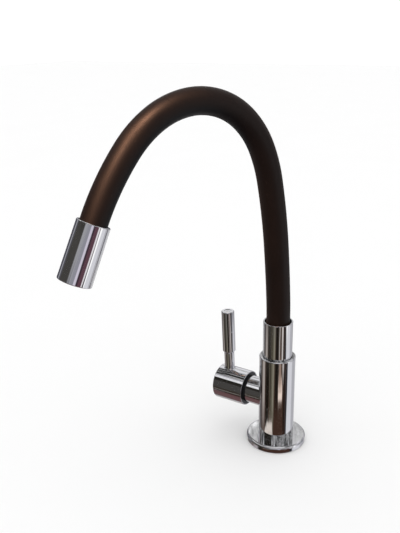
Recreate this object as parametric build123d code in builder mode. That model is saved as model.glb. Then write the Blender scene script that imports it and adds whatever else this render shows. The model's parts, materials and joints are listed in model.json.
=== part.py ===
from build123d import *
from math import asin, cos, degrees, radians, sin, sqrt
import os

# Single-lever kitchen faucet with a bendable neck, in millimetres.
# +Z is up and the origin is the centre of the deck face, under the base gasket.
# The side branch with its valve and lever lies along -X, and -Y is the user's side.
# Each block gives the sizes that can be set by themselves, and what follows from them.

# General fits
running_clearance = 0.08
fit_clearance = 0.05
body_clearance = 0.3
cut_overrun = 1.0

# Neck sleeve, armature and water hose
sleeve_radius = 11.0
sleeve_wall = 2.6
armature_ease = 0.15
armature_wall = 2.0
hose_ease = 0.15
hose_wall = 1.6
ferrule_wall = 1.0
ferrule_flange_height = 2.0
ferrule_length = 14.0
joint_swing_angle = 16.0
socket_clearance = 0.22
socket_land = 0.3
ball_step = 0.4
ball_seam_angle = 50.0
core_reach = 6.0
core_setback = 9.8
head_seat_depth = 12.0
sleeve_bore_radius = sleeve_radius - sleeve_wall
armature_radius = sleeve_bore_radius - armature_ease
hose_radius = armature_radius - armature_wall - hose_ease

# Hose barbs at both ends of the water hose
barb_ease = 0.2
barb_wall = 1.4
barb_length = 13.0
barb_count = 4
barb_ridge = 0.35
barb_radius = hose_radius - hose_wall - barb_ease
barb_bore = barb_radius - barb_wall

# Collar round the foot of the neck
collar_ease = 1.45
collar_wall = 1.35
collar_rise = 35.2
collar_cup_depth = 23.2
collar_edge_round = 0.45
slip_washer_height = 1.0
collar_mouth_radius = sleeve_radius + collar_ease
collar_radius = collar_mouth_radius + collar_wall

# Upright body
body_height = 84.8
body_mouth_wall = 2.7
body_edge_round = 0.9
collar_gap = 0.5
collar_pocket_depth = 6.0
stem_bore_ledge = 2.3
stem_bore_depth = 24.0
lower_bore_radius = 6.5
lower_bore_rise = 6.0
collar_pocket_radius = collar_radius + collar_gap
body_radius = collar_pocket_radius + body_mouth_wall
stem_bore_radius = collar_pocket_radius - stem_bore_ledge

# Inlet shank and its fixings under the deck
shank_radius = 10.4775
shank_bore_radius = 6.5
shank_length = 62.0
shank_screwed_depth = 12.0
relief_depth = 1.1
relief_width = 2.0
supply_thread_length = 14.0
deck_gap = 30.0
deck_washer_radius = 24.0
deck_washer_height = 3.0
nut_across_flats = 30.0
nut_height = 10.0
nut_face_radius = 16.5
nut_face_height = 2.0

# Base flange and gasket
flange_radius = 28.4
flange_height = 5.8
flange_lift = 0.4
flange_rim_round = 2.2
flange_hole_ease = 1.0
body_seat_depth = 1.0
gasket_inset = 3.9
gasket_hole_ease = 2.0
gasket_height = 3.0
flange_hole_radius = shank_radius + flange_hole_ease
gasket_radius = flange_radius - gasket_inset
gasket_hole_radius = shank_radius + gasket_hole_ease

# Side branch and valve chamber, along -X
branch_radius = 13.3
branch_wall = 1.95
branch_reach = 11.0
branch_edge_round = 0.4
valve_thread_step = 0.75
valve_thread_length = 4.5
chamber_roof = 8.85
seat_distance = 9.0
seat_passage_radius = 5.0
riser_inset = 2.0
riser_radius = 2.6
branch_length = body_radius + branch_reach
chamber_radius = branch_radius - branch_wall
valve_thread_radius = chamber_radius - valve_thread_step
riser_distance = stem_bore_radius - riser_inset

# Black stepped bearing ring between branch and hub
bearing_step = 0.4
bearing_wall = 0.85
bearing_rim_step = 2.9
bearing_neck_length = 2.7
bearing_length = 6.6
bearing_neck_radius = branch_radius - bearing_step
bearing_radius = bearing_neck_radius + bearing_rim_step

# Ceramic valve cartridge
cage_wall = 1.55
seal_height = 1.6
seal_overlap = 0.2
seal_step = 0.4
disc_height = 2.6
disc_rim = 2.8
disc_port_inner_radius = 2.2
disc_port_angle = 80.0
cartridge_window_width = 7.0
cartridge_window_length = 4.0
cartridge_head_length = 3.0
cartridge_neck_radius = 7.0
cartridge_neck_length = 7.5
ring_groove_depth = 1.2
ring_section = 1.1
drive_plate_height = 2.4
drive_tab_width = 3.0
drive_tab_depth = 1.2
spindle_radius = 4.5
spindle_end_step = 0.6
spindle_ring_inset = 3.5
spindle_flat_depth = 0.8
disc_radius = valve_thread_radius - cage_wall - body_clearance
disc_port_radius = disc_radius - disc_rim
seal_outer_radius = disc_radius + seal_overlap
seal_inner_radius = seat_passage_radius + seal_step
cartridge_head_radius = bearing_neck_radius - bearing_wall - fit_clearance
spindle_end_radius = spindle_radius - spindle_end_step
spindle_ring_distance = branch_length + spindle_ring_inset

# Handle hub and lever
hub_gap = 2.4
hub_length = 33.4
hub_bevel = 1.7
hub_crown = 0.5
hub_rim_round = 0.3
hub_mouth_wall = 0.9
hub_mouth_depth = 5.2
hub_cavity_step = 5.1
hub_cavity_depth = 10.0
hub_end_wall = 6.1
lever_end_distance = 11.8
lever_lean_angle = 2.0
lever_seat_depth = 0.9
lever_ring_step = 0.75
lever_ring_height = 1.1
lever_ring_round = 0.3
lever_stem_radius = 4.95
lever_thread_step = 1.8
lever_thread_length = 8.5
lever_stem_top = 35.2
lever_groove_width = 1.3
lever_groove_depth = 0.7
lever_grip_radius = 6.3
lever_grip_top = 77.6
lever_edge_round = 0.9
lever_dimple_radius = 9.0
lever_dimple_depth = 0.9
grub_radius = 2.5
grub_socket_radius = 1.4
grub_socket_depth = 2.5
hub_start = branch_length + hub_gap
hub_end = hub_start + hub_length
hub_mouth_radius = bearing_radius + body_clearance
hub_radius = hub_mouth_radius + hub_mouth_wall
hub_cavity_radius = hub_mouth_radius - hub_cavity_step
hub_socket_depth = hub_length - hub_end_wall
lever_distance = hub_end - lever_end_distance
lever_seat_radius = hub_radius - lever_seat_depth
lever_ring_radius = lever_stem_radius + lever_ring_step
lever_ring_top = lever_seat_radius + lever_ring_height
lever_thread_radius = lever_stem_radius - lever_thread_step

# Swivel stem, its rings and its retaining screw
stem_lift = 1.5
stem_bore = 5.0
stem_neck_step = 2.0
stem_ring_section = 1.2
lower_ring_height = 4.0
upper_ring_height = 8.5
stem_groove_height = 11.8
stem_groove_width = 3.4
stem_groove_depth = 1.8
swivel_screw_radius = 2.0
stem_neck_radius = stem_bore_radius - stem_neck_step

# Route of the neck's centreline: the run of each stretch and its lean from upright at both ends
spout_turn_angle = 25.8
neck_foot_drop = 0.2
first_run = 25.0
second_run = 50.0
third_run = 60.0
upper_run = 30.0
upper_run_count = 6
last_run = 60.0
neck_lean_angles = (0.0, 3.0, 5.0, 11.0, 24.0, 46.0, 73.0, 99.5, 123.0, 141.5, 156.5)

# Outlet head and aerator
head_length = 47.6
head_mouth_ease = 0.4
head_wall = 1.9
head_flare = 0.5
head_edge_round = 0.6
head_web_share = 0.42
nipple_flange_ease = 0.5
nipple_flange_height = 2.6
nipple_thread_step = 1.4
nipple_bore = 4.6
aerator_seat_wall = 1.7
aerator_gap = 0.1
aerator_washer_height = 1.8
aerator_washer_hole = 6.5
screen_height = 0.8
screen_hole_radius = 0.9
screen_pitch = 2.9
aerator_wall = 1.3
aerator_lip = 1.2
aerator_recess = 2.7
aerator_mouth_depth = 5.5
aerator_notch_width = 2.4
aerator_notch_depth = 1.6
aerator_notch_count = 4
core_hole_radius = 1.05
core_pitch = 2.6
hexagon_row_share = sqrt(3) / 2
head_mouth_radius = sleeve_radius + head_mouth_ease
head_top_radius = head_mouth_radius + head_wall
head_end_radius = head_top_radius + head_flare
nipple_flange_radius = head_mouth_radius - nipple_flange_ease
nipple_thread_radius = nipple_flange_radius - nipple_thread_step
aerator_bore_radius = head_top_radius - aerator_seat_wall
aerator_radius = aerator_bore_radius - aerator_gap

parts_folder = "parts"
os.makedirs(parts_folder, exist_ok=True)


def finish(piece, name):
    """Labels a piece and writes it as one STEP file."""
    piece.label = name
    export_step(piece, os.path.join(parts_folder, name + ".step"))
    print(name, len(piece.solids()), round(piece.volume, 1))


def hexagonal_places(pitch, reach):
    """Places of a hexagonal pattern whose centres lie within a reach of the middle."""
    row_pitch = pitch * hexagon_row_share
    rows = int(reach / row_pitch)
    places = []
    for row in range(-rows, rows + 1):
        y = row * row_pitch
        shift = pitch / 2 if row % 2 else 0
        steps = int(reach / pitch) + 1
        for step in range(-steps, steps + 1):
            x = step * pitch + shift
            if x * x + y * y <= reach * reach:
                places.append((x, y))
    return places


# Base flange
body_foot = flange_lift + flange_height - body_seat_depth
with BuildPart() as base_flange:
    with BuildSketch(Plane.XY.offset(flange_lift)):
        Circle(flange_radius)
        Circle(flange_hole_radius, mode=Mode.SUBTRACT)
    extrude(amount=flange_height)
    with BuildSketch(Plane.XY.offset(body_foot)):
        Circle(body_radius + fit_clearance)
    extrude(amount=body_seat_depth + cut_overrun, mode=Mode.SUBTRACT)
    with BuildSketch(Plane.XY.offset(flange_lift - cut_overrun)):
        Circle(gasket_radius + fit_clearance)
    extrude(amount=cut_overrun + gasket_height - flange_lift, mode=Mode.SUBTRACT)
    rim = base_flange.edges().filter_by(GeomType.CIRCLE).group_by(Axis.Z)[-1]
    fillet(rim.sort_by(SortBy.RADIUS)[-1], radius=flange_rim_round)
    foot_edges = base_flange.edges().filter_by(GeomType.CIRCLE).group_by(Axis.Z)[0]
    fillet(foot_edges.sort_by(SortBy.RADIUS)[-1], radius=flange_lift)
finish(base_flange.part, "base_flange")

# Rubber gasket, whose lower face is the deck face
with BuildPart() as base_gasket:
    with BuildSketch():
        Circle(gasket_radius)
        Circle(gasket_hole_radius, mode=Mode.SUBTRACT)
    extrude(amount=gasket_height)
finish(base_gasket.part, "base_gasket")

# Inlet shank: upper thread for the deck nut, relief groove, supply thread at the tail
relief_radius = shank_radius - relief_depth
shank_top = body_foot + shank_screwed_depth
relief_bottom = supply_thread_length - shank_length
with BuildPart() as inlet_shank:
    with BuildSketch(Plane.XY.offset(-shank_length)):
        Circle(shank_radius)
        Circle(shank_bore_radius, mode=Mode.SUBTRACT)
    extrude(amount=shank_length + shank_top)
    with BuildSketch(Plane.XY.offset(relief_bottom)):
        Circle(shank_radius + cut_overrun)
        Circle(relief_radius, mode=Mode.SUBTRACT)
    extrude(amount=relief_width, mode=Mode.SUBTRACT)
finish(inlet_shank.part, "inlet_shank")

# Rubber washer under the deck
with BuildPart() as deck_washer:
    with BuildSketch(Plane.XY.offset(-deck_gap - deck_washer_height)):
        Circle(deck_washer_radius)
        Circle(shank_radius + fit_clearance, mode=Mode.SUBTRACT)
    extrude(amount=deck_washer_height)
finish(deck_washer.part, "deck_washer")

# Hexagonal back nut with its own round face
nut_top = -deck_gap - deck_washer_height
with BuildPart() as shank_nut:
    with BuildSketch(Plane.XY.offset(nut_top - nut_face_height)):
        Circle(nut_face_radius)
    extrude(amount=nut_face_height)
    with BuildSketch(Plane.XY.offset(nut_top - nut_height)):
        RegularPolygon(radius=nut_across_flats / 2, side_count=6, major_radius=False)
    extrude(amount=nut_height - nut_face_height)
    with BuildSketch(Plane.XY.offset(nut_top - nut_height)):
        Circle(shank_radius + fit_clearance)
    extrude(amount=nut_height, mode=Mode.SUBTRACT)
finish(shank_nut.part, "shank_nut")

# Heights in the body, from its top down to the valve's axis
body_top = body_foot + body_height
stem_bore_floor = body_top - stem_bore_depth
valve_height = stem_bore_floor - chamber_roof - chamber_radius
lower_bore_top = valve_height + lower_bore_rise
riser_foot = valve_height + disc_radius + body_clearance
stem_foot = stem_bore_floor + stem_lift
retaining_height = stem_foot + stem_groove_height + stem_groove_width / 2
collar_top = body_top + collar_rise
cup_floor = collar_top - collar_cup_depth
neck_foot_height = collar_top - neck_foot_drop

# Places along the valve branch: x of the plane is the distance from the body's axis
branch_side = Plane(origin=(0, 0, valve_height), x_dir=(-1, 0, 0), z_dir=(0, 1, 0))
branch_axis = Axis((0, 0, valve_height), (-1, 0, 0))


def branch_plane(distance):
    """Plane square to the branch, facing outwards, with its own y upwards."""
    return Plane(origin=(-distance, 0, valve_height), x_dir=(0, -1, 0), z_dir=(-1, 0, 0))


def back_plane(distance):
    """Plane square to the retaining screw at the back of the body, facing outwards."""
    return Plane(origin=(0, distance, retaining_height), x_dir=(1, 0, 0), z_dir=(0, 1, 0))


# Body casting: upright tube, side branch, and the water ways between them
with BuildPart() as body_shell:
    with BuildSketch(Plane.XY.offset(body_foot)):
        Circle(body_radius)
    extrude(amount=body_height)
    with BuildSketch(branch_plane(0)):
        Circle(branch_radius)
    extrude(amount=branch_length)
    fillet(body_shell.faces().sort_by(Axis.Z)[-1].edges(), radius=body_edge_round)
    fillet(body_shell.faces().sort_by(Axis.X)[0].edges(), radius=branch_edge_round)
    with BuildSketch(Plane.XY.offset(body_foot)):
        Circle(shank_radius + fit_clearance)
    extrude(amount=shank_screwed_depth, mode=Mode.SUBTRACT)
    with BuildSketch(Plane.XY.offset(body_foot)):
        Circle(lower_bore_radius)
    extrude(amount=lower_bore_top - body_foot, mode=Mode.SUBTRACT)
    with BuildSketch(Plane.XY.offset(stem_bore_floor)):
        Circle(stem_bore_radius)
    extrude(amount=body_top - stem_bore_floor, mode=Mode.SUBTRACT)
    with BuildSketch(Plane.XY.offset(body_top - collar_pocket_depth)):
        Circle(collar_pocket_radius)
    extrude(amount=collar_pocket_depth + cut_overrun, mode=Mode.SUBTRACT)
    with BuildSketch(branch_plane(0)):
        Circle(seat_passage_radius)
    extrude(amount=seat_distance + cut_overrun, mode=Mode.SUBTRACT)
    with BuildSketch(branch_plane(seat_distance)):
        Circle(chamber_radius)
    extrude(amount=branch_length - valve_thread_length - seat_distance, mode=Mode.SUBTRACT)
    with BuildSketch(branch_plane(branch_length - valve_thread_length)):
        Circle(valve_thread_radius + fit_clearance)
    extrude(amount=valve_thread_length + cut_overrun, mode=Mode.SUBTRACT)
    with BuildSketch(Plane((-riser_distance, 0, riser_foot))):
        Circle(riser_radius)
    extrude(amount=stem_bore_floor - riser_foot + cut_overrun, mode=Mode.SUBTRACT)
    with BuildSketch(back_plane(0)):
        Circle(swivel_screw_radius + fit_clearance)
    extrude(amount=body_radius + cut_overrun, mode=Mode.SUBTRACT)
finish(body_shell.part, "body_shell")

# Rubber seal in the valve seat
with BuildPart() as seat_seal:
    with BuildSketch(branch_plane(seat_distance)):
        Circle(seal_outer_radius)
        Circle(seal_inner_radius, mode=Mode.SUBTRACT)
    extrude(amount=seal_height)
finish(seat_seal.part, "seat_seal")


def port_outline(turn):
    """Outline of one sector-shaped port through a ceramic disc, as a closed face."""
    with BuildSketch(Plane.XY) as port:
        with BuildLine():
            start = turn - disc_port_angle / 2
            CenterArc((0, 0), disc_port_radius, start, disc_port_angle)
            CenterArc((0, 0), disc_port_inner_radius, start, disc_port_angle)
            for side in (start, start + disc_port_angle):
                outward = Vector(cos(radians(side)), sin(radians(side)))
                Line(outward * disc_port_inner_radius, outward * disc_port_radius)
        make_face()
    return port.sketch


# Ceramic discs: the fixed one has ports on both sides, and the moving one covers them
# while the lever stands upright
fixed_disc_start = seat_distance + seal_height
moving_disc_start = fixed_disc_start + disc_height
with BuildPart() as fixed_disc:
    with BuildSketch(branch_plane(fixed_disc_start)):
        Circle(disc_radius)
        for turn in (0, 180):
            add(port_outline(turn), mode=Mode.SUBTRACT)
    extrude(amount=disc_height)
finish(fixed_disc.part, "fixed_disc")

with BuildPart() as moving_disc:
    with BuildSketch(branch_plane(moving_disc_start)):
        Circle(disc_radius)
        for turn in (90, 270):
            add(port_outline(turn), mode=Mode.SUBTRACT)
    extrude(amount=disc_height)
    with BuildSketch(branch_plane(moving_disc_start + disc_height)):
        Rectangle(2 * disc_radius, drive_tab_width + 2 * fit_clearance)
    extrude(amount=-drive_tab_depth, mode=Mode.SUBTRACT)
finish(moving_disc.part, "moving_disc")

# Spindle: drive plate with its tab in the disc's slot, O-ring groove, flatted end in the hub
spindle_start = moving_disc_start + disc_height
spindle_end = hub_start + hub_socket_depth - body_clearance
spindle_flat_height = spindle_end_radius - spindle_flat_depth
ring_groove_width = ring_section + 2 * fit_clearance
spindle_ring_middle = spindle_ring_distance + ring_groove_width / 2
with BuildPart() as spindle:
    with BuildSketch(branch_plane(spindle_start)):
        Circle(disc_radius - fit_clearance)
        for turn in (90, 270):
            add(port_outline(turn), mode=Mode.SUBTRACT)
    extrude(amount=drive_plate_height)
    with BuildSketch(branch_plane(spindle_start - drive_tab_depth + fit_clearance)):
        Rectangle(2 * disc_port_inner_radius, drive_tab_width)
    extrude(amount=drive_tab_depth)
    with BuildSketch(branch_plane(spindle_start + drive_plate_height)):
        Circle(spindle_radius)
    extrude(amount=hub_start + hub_cavity_depth - spindle_start - drive_plate_height - body_clearance)
    with BuildSketch(branch_plane(spindle_start + drive_plate_height)):
        Circle(spindle_end_radius)
    extrude(amount=spindle_end - spindle_start - drive_plate_height)
    with BuildSketch(branch_plane(spindle_ring_distance)):
        Circle(spindle_radius + cut_overrun)
        Circle(spindle_radius - ring_groove_depth, mode=Mode.SUBTRACT)
    extrude(amount=ring_groove_width, mode=Mode.SUBTRACT)
    with BuildSketch(Plane((-lever_distance, 0, valve_height - spindle_flat_height))):
        Rectangle(2 * lever_stem_radius, 2 * spindle_end_radius)
    extrude(amount=-spindle_flat_depth - cut_overrun, mode=Mode.SUBTRACT)
finish(spindle.part, "spindle")

# O-ring on the spindle
with BuildPart() as spindle_o_ring:
    with BuildSketch(branch_side):
        with Locations((spindle_ring_middle, spindle_radius - ring_section / 2)):
            Circle(ring_section / 2)
    revolve(axis=branch_axis)
finish(spindle_o_ring.part, "spindle_o_ring")

# Cartridge body: slotted cage round the discs, threaded barrel, head and guide neck
cartridge_head_start = branch_length
cage_radius = disc_radius + body_clearance
cage_floor = spindle_start + drive_plate_height + body_clearance
cartridge_ring_start = branch_length - valve_thread_length + ring_groove_width
cartridge_ring_middle = cartridge_ring_start + ring_groove_width / 2
with BuildPart() as cartridge_body:
    with BuildSketch(branch_plane(fixed_disc_start)):
        Circle(valve_thread_radius)
    extrude(amount=branch_length - fixed_disc_start)
    with BuildSketch(branch_plane(cartridge_head_start)):
        Circle(cartridge_head_radius)
    extrude(amount=cartridge_head_length)
    with BuildSketch(branch_plane(cartridge_head_start + cartridge_head_length)):
        Circle(cartridge_neck_radius)
    extrude(amount=cartridge_neck_length)
    with BuildSketch(branch_plane(fixed_disc_start)):
        Circle(cage_radius)
    extrude(amount=cage_floor - fixed_disc_start, mode=Mode.SUBTRACT)
    with BuildSketch(branch_plane(cage_floor)):
        Circle(spindle_radius + running_clearance)
    extrude(amount=cartridge_neck_length + branch_length, mode=Mode.SUBTRACT)
    with BuildSketch(branch_plane(cartridge_ring_start)):
        Circle(valve_thread_radius + cut_overrun)
        Circle(valve_thread_radius - ring_groove_depth, mode=Mode.SUBTRACT)
    extrude(amount=ring_groove_width, mode=Mode.SUBTRACT)
    window_middle = spindle_start - disc_height / 2
    with BuildSketch(Plane((-window_middle, 0, valve_height - valve_thread_radius - cut_overrun))):
        Rectangle(cartridge_window_length, cartridge_window_width)
    extrude(amount=2 * (valve_thread_radius + cut_overrun), mode=Mode.SUBTRACT)
finish(cartridge_body.part, "cartridge_body")

with BuildPart() as cartridge_o_ring:
    with BuildSketch(branch_side):
        with Locations((cartridge_ring_middle, valve_thread_radius - ring_section / 2)):
            Circle(ring_section / 2)
    revolve(axis=branch_axis)
finish(cartridge_o_ring.part, "cartridge_o_ring")

# Black stepped ring on the cartridge head: a neck against the branch, and a wide rim that
# fills the mouth of the hub
with BuildPart() as bearing_ring:
    with BuildSketch(branch_plane(branch_length)):
        Circle(bearing_neck_radius)
    extrude(amount=bearing_length)
    with BuildSketch(branch_plane(branch_length + bearing_neck_length)):
        Circle(bearing_radius)
    extrude(amount=bearing_length - bearing_neck_length)
    with BuildSketch(branch_plane(branch_length)):
        Circle(cartridge_head_radius + fit_clearance)
    extrude(amount=bearing_length, mode=Mode.SUBTRACT)
finish(bearing_ring.part, "bearing_ring")

# Handle hub: a turned cup with a bevelled, slightly crowned end
lever_direction = (-sin(radians(lever_lean_angle)), 0, cos(radians(lever_lean_angle)))
lever_plane = Plane(origin=(-lever_distance, 0, valve_height), x_dir=(0, -1, 0), z_dir=lever_direction)
crown_edge = hub_radius - hub_bevel
crown_radius = (crown_edge ** 2 + hub_crown ** 2) / (2 * hub_crown)
crown_half_angle = asin(crown_edge / crown_radius) / 2
crown_middle = (hub_end - crown_radius * (1 - cos(crown_half_angle)), crown_radius * sin(crown_half_angle))
with BuildPart() as handle_hub:
    with BuildSketch(branch_side):
        with BuildLine():
            outline = Polyline(
                (hub_end, 0),
                (hub_start, 0),
                (hub_start, hub_radius),
                (hub_end - hub_bevel, hub_radius),
                (hub_end - hub_crown, crown_edge),
            )
            ThreePointArc(outline @ 1, crown_middle, outline @ 0)
        make_face()
    revolve(axis=branch_axis)
    rim_edges = handle_hub.edges().filter_by(GeomType.CIRCLE).group_by(Axis.X)[-1]
    fillet(rim_edges, radius=hub_rim_round)
    for radius, depth in (
        (hub_mouth_radius, hub_mouth_depth),
        (hub_cavity_radius, hub_cavity_depth),
        (spindle_end_radius + fit_clearance, hub_socket_depth),
    ):
        with BuildSketch(branch_plane(hub_start - cut_overrun)):
            Circle(radius)
        extrude(amount=depth + cut_overrun, mode=Mode.SUBTRACT)
    with BuildSketch(lever_plane.offset(lever_seat_radius)):
        Circle(lever_ring_radius + fit_clearance)
    extrude(amount=hub_radius, mode=Mode.SUBTRACT)
    with BuildSketch(lever_plane):
        Circle(lever_thread_radius + fit_clearance)
    extrude(amount=hub_radius, mode=Mode.SUBTRACT)
    with BuildSketch(lever_plane):
        Circle(grub_radius + fit_clearance)
    extrude(amount=-hub_radius - cut_overrun, mode=Mode.SUBTRACT)
finish(handle_hub.part, "handle_hub")

# Lever rod: threaded tail, foot ring in the hub's seat, stem, groove, grip with a dimpled top
groove_bottom = lever_stem_top - lever_groove_width
with BuildPart() as lever_rod:
    with BuildSketch(lever_plane.offset(lever_seat_radius - lever_thread_length)):
        Circle(lever_thread_radius)
    extrude(amount=lever_thread_length)
    with BuildSketch(lever_plane.offset(lever_seat_radius)):
        Circle(lever_ring_radius)
    extrude(amount=lever_ring_height)
    fillet(lever_rod.faces().sort_by(Axis.Z)[-1].edges(), radius=lever_ring_round)
    with BuildSketch(lever_plane.offset(lever_ring_top)):
        Circle(lever_stem_radius)
    extrude(amount=groove_bottom - lever_ring_top)
    with BuildSketch(lever_plane.offset(groove_bottom)):
        Circle(lever_stem_radius - lever_groove_depth)
    extrude(amount=lever_groove_width)
    with BuildSketch(lever_plane.offset(lever_stem_top)):
        Circle(lever_grip_radius)
    extrude(amount=lever_grip_top - lever_stem_top)
    grip_edges = lever_rod.edges().filter_by(GeomType.CIRCLE).filter_by(
        lambda edge: abs(edge.radius - lever_grip_radius) < fit_clearance
    )
    fillet(grip_edges, radius=lever_edge_round)
    with Locations(lever_plane.offset(lever_grip_top + lever_dimple_radius - lever_dimple_depth)):
        Sphere(lever_dimple_radius, mode=Mode.SUBTRACT)
finish(lever_rod.part, "lever_rod")

# Grub screw that clamps the hub on the spindle from below
with BuildPart() as handle_screw:
    with BuildSketch(lever_plane.offset(-spindle_flat_height - body_clearance)):
        Circle(grub_radius)
    extrude(amount=spindle_flat_height + grub_socket_depth - lever_seat_radius)
    with BuildSketch(lever_plane.offset(grub_socket_depth - lever_seat_radius - body_clearance)):
        RegularPolygon(radius=grub_socket_radius, side_count=6)
    extrude(amount=grub_socket_depth, mode=Mode.SUBTRACT)
finish(handle_screw.part, "handle_screw")

# Swivel stem in the body's bore, with ring grooves, retaining groove, neck and hose barb
stem_radius = stem_bore_radius - running_clearance
stem_length = cup_floor - stem_foot
collar_foot = body_top - collar_pocket_depth + slip_washer_height
barb_step = barb_length / barb_count
stem_ring_groove = stem_ring_section + 2 * fit_clearance
with BuildPart() as swivel_stem:
    with BuildSketch(Plane.XY.offset(stem_foot)):
        Circle(stem_radius)
    extrude(amount=collar_foot - stem_foot - slip_washer_height)
    with BuildSketch(Plane.XY.offset(stem_foot)):
        Circle(stem_neck_radius)
    extrude(amount=stem_length)
    for height in (lower_ring_height, upper_ring_height):
        with BuildSketch(Plane.XY.offset(stem_foot + height)):
            Circle(stem_bore_radius)
            Circle(stem_radius - stem_ring_section, mode=Mode.SUBTRACT)
        extrude(amount=stem_ring_groove, mode=Mode.SUBTRACT)
    with BuildSketch(Plane.XY.offset(stem_foot + stem_groove_height)):
        Circle(stem_bore_radius)
        Circle(stem_radius - stem_groove_depth, mode=Mode.SUBTRACT)
    extrude(amount=stem_groove_width, mode=Mode.SUBTRACT)
    with BuildSketch(Plane.XY.offset(cup_floor)):
        Circle(barb_radius - barb_ridge)
    extrude(amount=barb_length)
    for index in range(barb_count):
        with BuildSketch(Plane.XY.offset(cup_floor + index * barb_step)):
            Circle(barb_radius)
        extrude(amount=barb_step / 2)
    with BuildSketch(Plane.XY.offset(stem_foot)):
        Circle(stem_bore)
    extrude(amount=stem_length - stem_bore, mode=Mode.SUBTRACT)
    with BuildSketch(Plane.XY.offset(stem_foot)):
        Circle(barb_bore)
    extrude(amount=stem_length + barb_length, mode=Mode.SUBTRACT)
finish(swivel_stem.part, "swivel_stem")

with BuildPart() as stem_o_rings:
    with BuildSketch(Plane.XZ):
        for height in (lower_ring_height, upper_ring_height):
            ring_middle = stem_foot + height + stem_ring_groove / 2
            with Locations((stem_radius - stem_ring_section / 2, ring_middle)):
                Circle(stem_ring_section / 2)
    revolve(axis=Axis.Z)
finish(stem_o_rings.part, "stem_o_rings")

with BuildPart() as slip_washer:
    with BuildSketch(Plane.XY.offset(body_top - collar_pocket_depth)):
        Circle(collar_pocket_radius - fit_clearance)
        Circle(stem_neck_radius + body_clearance, mode=Mode.SUBTRACT)
    extrude(amount=slip_washer_height)
finish(slip_washer.part, "slip_washer")

# Screw in the back of the body whose tip runs in the stem's groove
with BuildPart() as swivel_screw:
    groove_floor = stem_radius - stem_groove_depth
    with BuildSketch(back_plane(groove_floor + body_clearance)):
        Circle(stem_groove_width / 2 - body_clearance)
    extrude(amount=stem_bore_radius - groove_floor)
    with BuildSketch(back_plane(stem_bore_radius + body_clearance)):
        Circle(swivel_screw_radius)
    extrude(amount=body_radius - stem_bore_radius - 2 * body_clearance)
    with BuildSketch(back_plane(body_radius - body_clearance)):
        RegularPolygon(radius=swivel_screw_radius / 2, side_count=6)
    extrude(amount=-swivel_screw_radius, mode=Mode.SUBTRACT)
finish(swivel_screw.part, "swivel_screw")

# Collar: thin cup round the foot of the neck, screwed on the stem
with BuildPart() as collar:
    with BuildSketch(Plane.XY.offset(collar_foot)):
        Circle(collar_radius)
        Circle(stem_neck_radius + fit_clearance, mode=Mode.SUBTRACT)
    extrude(amount=collar_top - collar_foot)
    with BuildSketch(Plane.XY.offset(cup_floor)):
        Circle(collar_mouth_radius)
    extrude(amount=collar_cup_depth + cut_overrun, mode=Mode.SUBTRACT)
    top_edges = collar.edges().filter_by(GeomType.CIRCLE).group_by(Axis.Z)[-1]
    fillet(top_edges, radius=collar_edge_round)
finish(collar.part, "collar")

# Neck route in its own upright plane, turned from straight ahead towards the lever
route_direction = Vector(-sin(radians(spout_turn_angle)), -cos(radians(spout_turn_angle)), 0)
bend_direction = Vector(0, 0, 1).cross(route_direction)
neck_runs = (first_run, second_run, third_run) + (upper_run,) * upper_run_count + (last_run,)
run_count = len(neck_runs)


def lean_direction(lean_angle):
    """Direction along the neck where it leans by an angle from upright."""
    return route_direction * sin(radians(lean_angle)) + Vector(0, 0, cos(radians(lean_angle)))


def inward_direction(lean_angle):
    """Direction towards the middle of the neck's curve, square to the neck."""
    return route_direction * cos(radians(lean_angle)) - Vector(0, 0, sin(radians(lean_angle)))


turn_angles = [neck_lean_angles[index + 1] - neck_lean_angles[index] for index in range(run_count)]
turn_radii = [run / radians(turn) for run, turn in zip(neck_runs, turn_angles)]
stations = [Vector(0, 0, neck_foot_height)]
for index in range(run_count):
    centre = stations[index] + inward_direction(neck_lean_angles[index]) * turn_radii[index]
    stations.append(centre - inward_direction(neck_lean_angles[index + 1]) * turn_radii[index])


def run_plane(index, distance):
    """Plane square to one run of the neck, at a distance along its arc from the run's start."""
    lean_angle = neck_lean_angles[index] + degrees(distance / turn_radii[index])
    centre = stations[index] + inward_direction(neck_lean_angles[index]) * turn_radii[index]
    origin = centre - inward_direction(lean_angle) * turn_radii[index]
    return Plane(origin=origin, x_dir=bend_direction, z_dir=lean_direction(lean_angle))


def run_axis(index):
    """Axis about which one run of the neck is curved."""
    centre = stations[index] + inward_direction(neck_lean_angles[index]) * turn_radii[index]
    return Axis(centre, bend_direction)


def run_turn(index, distance):
    """Angle in degrees that a distance along one run turns about its axis."""
    return degrees(distance / turn_radii[index])


# Ball and socket ends let each stretch of sleeve swing on the next one without opening a gap
ball_radius = sleeve_radius - ball_step
socket_lip = sleeve_radius * sin(radians(joint_swing_angle)) + socket_clearance
socket_radius = sqrt(sleeve_radius ** 2 + socket_lip ** 2)
socket_start = sqrt(socket_radius ** 2 - (sleeve_radius - socket_land) ** 2)
ferrule_bore_radius = armature_radius + fit_clearance
ferrule_radius = ferrule_bore_radius + ferrule_wall
sleeve_end_bore = ferrule_radius + fit_clearance
sleeve_foot = cup_floor + ferrule_flange_height
foot_plane = Plane.XY.offset(sleeve_foot)
foot_reach = neck_foot_height - sleeve_foot
head_plane = Plane(
    origin=stations[run_count],
    x_dir=bend_direction,
    z_dir=lean_direction(neck_lean_angles[run_count]),
)

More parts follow.
